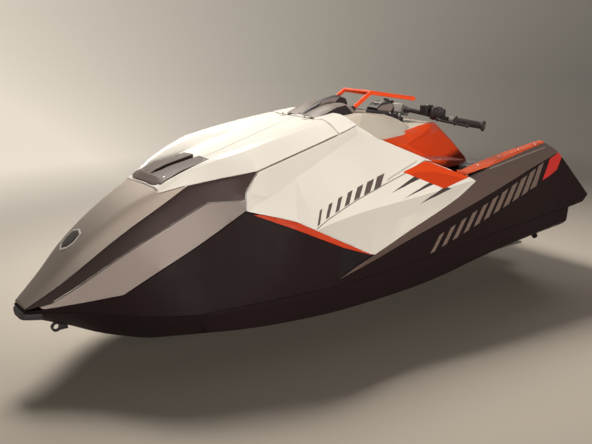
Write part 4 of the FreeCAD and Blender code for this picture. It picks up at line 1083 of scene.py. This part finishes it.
class WATERCRAFT_OT_saddle(bpy.types.Operator):
    """Stuffs the saddle's cushion, sews its seams and finishes its pan"""

    bl_idname = "watercraft.saddle"
    bl_label = "Saddle"

    FRONT = -0.790
    REAR = -1.204
    FOOT = 0.2765                               # level of the cover's foot,
    HELD = 0.281                                # below which the filling can't move it,
    LOWEST = 0.2757                             # and how far down it may go
    STEPS = 44                                  # rings of the cover from front to rear,
    AROUND = 40                                 # and corners of a ring
    VOXEL = 0.006
    SEAM = 0.56                                 # how high the seam runs, as a share of the height
    CHANNELS = (-0.885, -0.965, -1.045, -1.125)
    CHANNEL_DEEP = 0.0068
    SEAM_DEEP = 0.0042
    BEAD = 150                                  # corners of the piping
    STITCH = (0.0042, 0.0011, 0.0009)

    def execute(self, context):
        settings = context.scene.watercraft_saddle
        skin("saddle_pan", "trim", 30, 1.5)
        cushion = self.cover()
        self.fill(context, cushion, settings)
        self.channels(cushion)
        smooth = cushion.modifiers.new("smooth", "SUBSURF")
        smooth.levels = smooth.render_levels = 1
        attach(cushion, "craft")
        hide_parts("saddle_cushion")
        tree = BVHTree.FromObject(cushion, context.evaluated_depsgraph_get())
        self.piping(tree)
        self.stitches(tree)
        return {"FINISHED"}

    def section(self, share):
        """Half-breadth at the foot and at the shoulder, foot level and top level, front to rear."""
        foot = 0.128 + 0.010 * math.sin(math.pi * min(share * 1.1, 1.0))
        top = 0.372 - 0.066 * share - 0.012 * math.sin(math.pi * share)
        return foot, 0.118 + 0.018 * share, self.FOOT, top

    def levels(self, x):
        """The levels of the cover's foot and top at a place along the craft."""
        share = (self.FRONT - x) / (self.FRONT - self.REAR)
        return self.section(min(max(share, 0.0), 1.0))[2:]

    def bow(self, y):
        """How far the channels bend to the rear at a place across the saddle."""
        return 0.018 * (y / 0.13) ** 2

    def squared(self, turn, power):
        """A place on a rounded square at a share of the way round it."""
        angle = math.tau * turn
        return [math.copysign(abs(value) ** power, value)
                for value in (math.cos(angle), math.sin(angle))]

    def cover(self):
        """The cover before it is filled: a crowned wedge, narrower at the knees, with rounded ends."""
        work = bmesh.new()
        rings = []
        for step in range(self.STEPS + 1):
            share = step / self.STEPS
            foot, waist, low, top = self.section(share)
            end = min(share, 1 - share) * (self.FRONT - self.REAR)
            round_off = min(1.0, math.sqrt(max(0.0, 1 - (1 - min(end / 0.030, 1.0)) ** 2)))
            x = self.FRONT + (self.REAR - self.FRONT) * share
            height = (top - low) * (0.62 + 0.38 * round_off) - 0.010
            breadth = (0.93 + 0.07 * round_off) * 0.985
            ring = []
            for index in range(self.AROUND):
                y, z = self.squared(index / self.AROUND, 0.42)
                rise = (z + 1) / 2
                half = (foot * (1 - rise) + waist * rise) * breadth
                crown = 0.010 * (1 - abs(y)) * max(z, 0.0)
                ring.append(work.verts.new((x, y * half, low + rise * height + crown)))
            rings.append(ring)
        bridged(work, rings)
        bmesh.ops.recalc_face_normals(work, faces=work.faces)
        mesh = bpy.data.meshes.new("saddle_cover")
        work.to_mesh(mesh)
        work.free()
        cushion = new_object("saddle_cushion_cover", mesh)
        remesh = cushion.modifiers.new("remesh", "REMESH")
        remesh.mode = "VOXEL"
        remesh.voxel_size = self.VOXEL
        self.bake(cushion)
        return cushion

    def bake(self, cushion):
        """Puts the result of the modifiers into the mesh, and gives it the cover's looks."""
        old = cushion.data
        depsgraph = bpy.context.evaluated_depsgraph_get()
        mesh = bpy.data.meshes.new_from_object(cushion.evaluated_get(depsgraph))
        cushion.modifiers.clear()
        cushion.data = mesh
        mesh.materials.clear()
        for look in ("seat", "seat_side"):
            mesh.materials.append(Looks.of(look))
        bpy.data.meshes.remove(old)

    def fill(self, context, cushion, settings):
        """Swells the cover as its filling would, by no more than the allowed reach."""
        start = [vertex.co.copy() for vertex in cushion.data.vertices]
        foot = cushion.vertex_groups.new(name="foot")
        held = [index for index, place in enumerate(start) if place.z < self.HELD]
        foot.add(held, 1.0, "REPLACE")
        cloth = cushion.modifiers.new("filling", "CLOTH")
        cloth.settings.quality = 5
        cloth.settings.mass = 0.3
        cloth.settings.use_pressure = True
        cloth.settings.uniform_pressure_force = settings.pressure
        cloth.settings.effector_weights.gravity = 0.0
        cloth.settings.vertex_group_mass = "foot"
        cloth.collision_settings.use_collision = False
        cloth.point_cache.frame_start = 1
        cloth.point_cache.frame_end = settings.frames
        scene = context.scene
        for number in range(1, settings.frames + 1):
            scene.frame_set(number)
        swollen = cushion.evaluated_get(context.evaluated_depsgraph_get()).to_mesh()
        moved = [vertex.co.copy() for vertex in swollen.vertices]
        cushion.modifiers.remove(cloth)
        scene.frame_set(1)
        for vertex, before, after in zip(cushion.data.vertices, start, moved):
            step = after - before
            if step.length > settings.reach:
                step *= settings.reach / step.length
            vertex.co = before + step
            vertex.co.z = max(vertex.co.z, self.LOWEST)
        cushion.data.update()

    def channels(self, cushion):
        """Presses the sewn channels across the top and the seam round the sides into the cover."""
        for vertex in cushion.data.vertices:
            place = vertex.co
            low, top = self.levels(place.x)
            rise = (place.z - low) / (top - low)
            if rise > 0.6:
                offs = [(place.x - x + self.bow(place.y)) / 0.0062 for x in self.CHANNELS]
                edge = min(max((0.108 - abs(place.y)) / 0.02, 0.0), 1.0)
                place.z -= self.CHANNEL_DEEP * max(math.exp(-off * off) for off in offs) * edge
            if abs(place.y) > 0.09:
                seam = math.exp(-((rise - self.SEAM) / 0.045) ** 2)
                place.y -= math.copysign(self.SEAM_DEEP * seam, place.y)
        for face in cushion.data.polygons:
            low, top = self.levels(face.center.x)
            face.material_index = int((face.center.z - low) / (top - low) < self.SEAM)
        cushion.data.shade_smooth()

    def piping(self, tree):
        """The bead along the seam between the top and the side of the cover."""
        middle = -0.997
        loop = []
        for index in range(self.BEAD):
            x, y = self.squared(index / self.BEAD, 0.3)
            x, y = x * 0.215, y * 0.15
            low, top = self.levels(middle + x)
            level = low + self.SEAM * (top - low)
            origin = Vector((middle + x * 1.4, y * 1.4, level))
            aim = Vector((middle + x * 0.55, y * 0.2, level)) - origin
            place, normal, _, _ = tree.ray_cast(origin, aim.normalized())
            if place is not None:
                loop.append((place, normal))
        work = bmesh.new()
        rings = []
        for index, (here, normal) in enumerate(loop):
            run = loop[(index + 1) % len(loop)][0] - loop[index - 1][0]
            rings.append(turned_ring(work, here + normal * 0.0008, run, 0.0030, 8))
        bridged(work, rings + [rings[0]], capped=False)
        place_piece("saddle_piping", work, "seat_side", smooth=60)

    def stitches(self, tree):
        """A row of stitches on each side of every channel."""
        work = bmesh.new()
        for x in self.CHANNELS:
            for shift in (0.0075, -0.0075):
                for index in range(-14, 15):
                    y = index * 0.0066
                    place, normal, _, _ = tree.ray_cast(Vector((x - self.bow(y) + shift, y, 1.0)), -UP)
                    if place is None:
                        continue
                    side = PORT.cross(normal).normalized()
                    turn = Matrix((normal.cross(side), side, normal)).transposed()
                    rounded_block(work, place + normal * 0.0001, self.STITCH, turn, 0.0004, 1)
        place_piece("saddle_stitches", work, "thread", smooth=40)


class WATERCRAFT_OT_mats(bpy.types.Operator):
    """Lays the ribbed mats in the foot wells and on the swim platform"""

    bl_idname = "watercraft.mats"
    bl_label = "Deck mats"

    BASE = 0.0046           # how thick the sheet under the ribs is
    BORDER = 0.014          # its plain border
    GAP = 0.012             # between pads of ribs
    SUNK = 0.0016           # how far the ribs go into the sheet

    def execute(self, context):
        pitch = context.scene.watercraft_saddle.rib
        for node in ("foot_mat_left", "foot_mat_right", "rear_mat"):
            low, high = (Vector(corner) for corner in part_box(node))
            work = bmesh.new()
            size = Vector((high.x - low.x, high.y - low.y, self.BASE))
            rounded_block(work, low + size / 2, size, None, 0.0015, 2)
            self.ribs(work, low, high, pitch, int(node == "rear_mat"))
            piece = place_piece(node.replace("mat", "mat_ribbed"), work, "mat", smooth=40)
            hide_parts(node)
        return {"FINISHED"}

    def ribs(self, work, low, high, pitch, along):
        """Ribs along X (0) or across the craft (1), broken into pads, inside a border."""
        start, end = low[along] + self.BORDER, high[along] - self.BORDER
        left, right = low[1 - along] + self.BORDER, high[1 - along] - self.BORDER
        count = int((right - left) / pitch)
        pads = 4 if end - start > 0.6 else 1
        length = (end - start - (pads - 1) * self.GAP) / pads
        size = Vector((pitch * 0.66, pitch * 0.66, high.z - low.z - self.BASE + self.SUNK))
        size[along] = length
        for row in range(count):
            cross = (left + right) / 2 + (row - (count - 1) / 2) * pitch
            for pad in range(pads):
                centre = Vector((cross, cross, high.z - size.z / 2))
                centre[along] = start + length / 2 + pad * (length + self.GAP)
                rounded_block(work, centre, size, None, 0.0014, 2)


class WATERCRAFT_OT_jet(bpy.types.Operator):
    """Finishes the pump, the impeller, the nozzle, the ride plate, the grate and the eyes"""

    bl_idname = "watercraft.jet"
    bl_label = "Jet drive and eyes"

    AXIS = -0.059           # level of the pump's axis
    CIRCLE = 0.084          # radius of its circle of bolts
    # heads on the other parts: the nodes that they stand on, the way they are looked for, the kind
    # of head, its radius and the places that it is looked for from
    HEADS = (
        (("ride_plate",), UP, hex_bolt, 0.0055,
         [(x, y, -1.0) for x in (-1.010, -1.150, -1.300) for y in (-0.105, 0.105)]),
        (("intake_grate", "hull"), UP, socket_screw, 0.005,
         [(x, y, -1.0) for x in (-0.940, -0.750) for y in (-0.066, 0.066)]),
        (("stern_eye_left",), AHEAD, socket_screw, 0.0048,
         [(-1.6, 0.300, z) for z in (0.038, 0.091)]),
        (("stern_eye_right",), AHEAD, socket_screw, 0.0048,
         [(-1.6, -0.300, z) for z in (0.038, 0.091)]),
    )

    def execute(self, context):
        skin("pump_housing", "cast", 30, 0.0)
        skin("impeller", "steel", 30, 0.4)
        skin("steering_nozzle", "cast", 30, 0.0)
        skin("ride_plate", "alloy", 20, 1.6)
        skin("intake_grate", "cast", 30, 1.0)
        for node in ("bow_eye", "stern_eye_left", "stern_eye_right"):
            skin(node, "trim", 30, 1.0)
        self.bolts()
        return {"FINISHED"}

    def bolts(self):
        """The bolts of the pump, the ride plate, the grate and the stern eyes."""
        work = bmesh.new()
        flange = Surface("pump_housing")
        for index in range(6):
            angle = math.radians(30 + 60 * index)
            y, z = self.CIRCLE * math.cos(angle), self.AXIS + self.CIRCLE * math.sin(angle)
            place, normal = flange.hit((-1.5, y, z), AHEAD)
            if normal.x < -0.7:
                hex_bolt(work, place, -AHEAD, 0.0052)
        for nodes, aim, head, radius, places in self.HEADS:
            surface = Surface(*nodes)
            for origin in places:
                head(work, surface.hit(origin, aim)[0], -aim, radius)
        place_piece("drive_bolts", work, "steel")


class WATERCRAFT_OT_fasteners(bpy.types.Operator):
    """Puts the button-head screws in the rails, the fairing, the console, the plinth and the scoop"""

    bl_idname = "watercraft.fasteners"
    bl_label = "Fasteners"

    def execute(self, context):
        fairing, console, plinth = Surface("knee_fairing"), Surface("console"), Surface("saddle_plinth")
        heads = []
        for side, name in SIDES:
            rail = Surface("gunwale_rail_" + name)
            spots = [rail.above(x, side * 0.4635) for x in (-0.56, -0.70, -0.84, -0.96)]
            heads += [(spot, 0.0046) for spot in spots if spot[1].z > 0.5]
            heads += [(fairing.beside(x, z, side), 0.0050)
                      for x, z in ((-0.640, 0.4135), (-0.520, 0.4280))]
            heads += [(console.above(x, side * 0.094), 0.0042) for x in (-0.135, -0.350)]
            heads += [(plinth.beside(x, 0.225, side), 0.0050) for x in (-0.860, -1.130)]
        screws("deck_screws", heads)
        scoop = Surface("air_scoop")
        screws("scoop_screws", [(scoop.above(x, side * 0.098), 0.0042)
                                for side in (1, -1) for x in (0.668, 0.850)], "hatch")
        return {"FINISHED"}


class WATERCRAFT_OT_stage(bpy.types.Operator):
    """Lays the floor and sets the lamps and the camera"""

    bl_idname = "watercraft.stage"
    bl_label = "Stage"

    # the camera: its place, where it points, its roll and its lens
    PLACE = Vector((2.2611, 2.9547, 1.1297))
    HEADING = -2.1932
    PITCH = -0.2566
    ROLL = -0.0152
    LENS = 49.35
    SENSOR = 36.0
    # name, place, what it is aimed at, size, power, spread in degrees and colour of each lamp
    LAMPS = (
        ("key", (0.1, -1.9, 3.3), (-0.1, -0.3, 0.45), (1.8, 1.6), 44.0, 80.0, (1.0, 0.95, 0.88)),
        ("front", (2.2, 6.7, 0.34), (-0.1, 0.2, 0.85), (4.0, 0.7), 69.0, 60.0, (1.0, 0.94, 0.87)),
        ("rear", (-3.6, -1.2, 2.6), (-0.6, 0.0, 0.3), (2.0, 1.4), 7.0, 90.0, (1.0, 0.95, 0.9)),
    )
    AIR = {"Color": (0.93, 0.88, 0.82, 1.0), "Strength": 0.06}      # light from all round
    # the floor: half its length, the middle of its lit part, and the distances from there over
    # which the backdrop's glow comes in and its own tone goes out
    HALF = 1500.0
    SPOT = (0.2, 0.9)
    GLOW = (1.4, 5.5)
    FADE = (4.0, 14.0)

    def execute(self, context):
        stage = context.scene.watercraft_stage
        self.camera(context)
        self.lamps(context)
        if stage.show_floor:
            self.floor(stage)
        return {"FINISHED"}

    def camera(self, context):
        data = bpy.data.cameras.new("camera")
        data.lens = self.LENS
        data.sensor_width = self.SENSOR
        camera = new_object("camera", data)
        level = math.cos(self.PITCH)
        ahead = Vector((level * math.cos(self.HEADING), level * math.sin(self.HEADING),
                        math.sin(self.PITCH)))
        right = ahead.cross(UP).normalized()
        up = right.cross(ahead)
        turned_right = right * math.cos(self.ROLL) + up * math.sin(self.ROLL)
        turned_up = up * math.cos(self.ROLL) - right * math.sin(self.ROLL)
        turn = Matrix((turned_right, turned_up, -ahead)).transposed()
        camera.matrix_world = Matrix.Translation(self.PLACE) @ turn.to_4x4()
        context.scene.camera = camera

    def lamps(self, context):
        for name, place, aim, size, power, spread, colour in self.LAMPS:
            data = bpy.data.lights.new(name, "AREA")
            data.shape = "RECTANGLE"
            data.size, data.size_y = size
            data.energy = power
            data.spread = math.radians(spread)
            data.color = colour
            lamp = new_object(name, data)
            aim = (Vector(aim) - Vector(place)).to_track_quat("-Z", "Y")
            lamp.matrix_world = Matrix.Translation(Vector(place)) @ aim.to_matrix().to_4x4()
        sky = Sky("studio")
        lit = sky.add("ShaderNodeBackground", None, self.AIR)
        shown = sky.add("ShaderNodeBackground", None, {"Color": sky.backdrop(*sky.heading())})
        sky.show(sky.add("ShaderNodeMixShader", None, {0: sky.seen(), 1: lit, 2: shown}))
        context.scene.world = sky.material

    def floor(self, stage):
        low = CAD_BOX[0][2] - stage.gap
        mesh = bpy.data.meshes.new("floor")
        corners = [(self.HALF * x, self.HALF * y, low) for x, y in ((-1, -1), (1, -1), (1, 1), (-1, 1))]
        mesh.from_pydata(corners, [], [(0, 1, 2, 3)])
        tree = Tree("studio_floor", Specular_IOR_Level=0.0, Emission_Strength=1.0)
        colour = tuple(stage.floor)
        tone = tree.mix(tree.noise(0.6, 2.0), shade(colour, 0.985), shade(colour, 1.015))
        x, y, _ = tree.axes()
        out = (x * x + y * y).math("SQRT").highest(0.01)
        spot_x, spot_y = self.SPOT
        near = ((x - spot_x) * (x - spot_x) + (y - spot_y) * (y - spot_y)).math("SQRT")
        tone = tree.mix(near.between(*self.FADE), tone, BLACK)
        glow = tree.backdrop(x / out, y / out, near.between(*self.GLOW) * tree.seen())
        tree.feed(Base_Color=tone, Roughness=tree.noise(3.0) * 0.05 + 0.55, Emission_Color=glow)
        mesh.materials.append(tree.material)
        new_object("floor", mesh)


class WATERCRAFT_PT_panel(bpy.types.Panel):
    """The settings, and a button for each operator"""

    bl_idname = "WATERCRAFT_PT_panel"
    bl_label = "Watercraft"
    bl_space_type = "VIEW_3D"
    bl_region_type = "UI"
    bl_category = "Watercraft"

    def draw(self, context):
        scene = context.scene
        for settings in (scene.watercraft, scene.watercraft_saddle, scene.watercraft_stage):
            for name in settings.__annotations__:
                self.layout.prop(settings, name)
        for operator in OPERATORS:
            self.layout.operator(operator.bl_idname)


OPERATORS = (WATERCRAFT_OT_stage, WATERCRAFT_OT_hull, WATERCRAFT_OT_panels, WATERCRAFT_OT_upper_works,
             WATERCRAFT_OT_steering, WATERCRAFT_OT_saddle, WATERCRAFT_OT_mats, WATERCRAFT_OT_jet,
             WATERCRAFT_OT_fasteners)
CLASSES = (CraftSettings, SaddleSettings, StageSettings, *OPERATORS, WATERCRAFT_PT_panel)


def register():
    for cls in CLASSES:
        bpy.utils.register_class(cls)
    bpy.types.Scene.watercraft = bpy.props.PointerProperty(type=CraftSettings)
    bpy.types.Scene.watercraft_saddle = bpy.props.PointerProperty(type=SaddleSettings)
    bpy.types.Scene.watercraft_stage = bpy.props.PointerProperty(type=StageSettings)


def unregister():
    del bpy.types.Scene.watercraft_stage
    del bpy.types.Scene.watercraft_saddle
    del bpy.types.Scene.watercraft
    for cls in reversed(CLASSES):
        bpy.utils.unregister_class(cls)


def main():
    register()
    bpy.context.scene.view_settings.view_transform = "Standard"
    bpy.ops.watercraft.stage()
    bpy.ops.watercraft.hull()
    bpy.ops.watercraft.panels()
    bpy.ops.watercraft.upper_works()
    bpy.ops.watercraft.steering()
    bpy.ops.watercraft.saddle()
    bpy.ops.watercraft.mats()
    bpy.ops.watercraft.jet()
    bpy.ops.watercraft.fasteners()


if __name__ == "__main__":
    main()
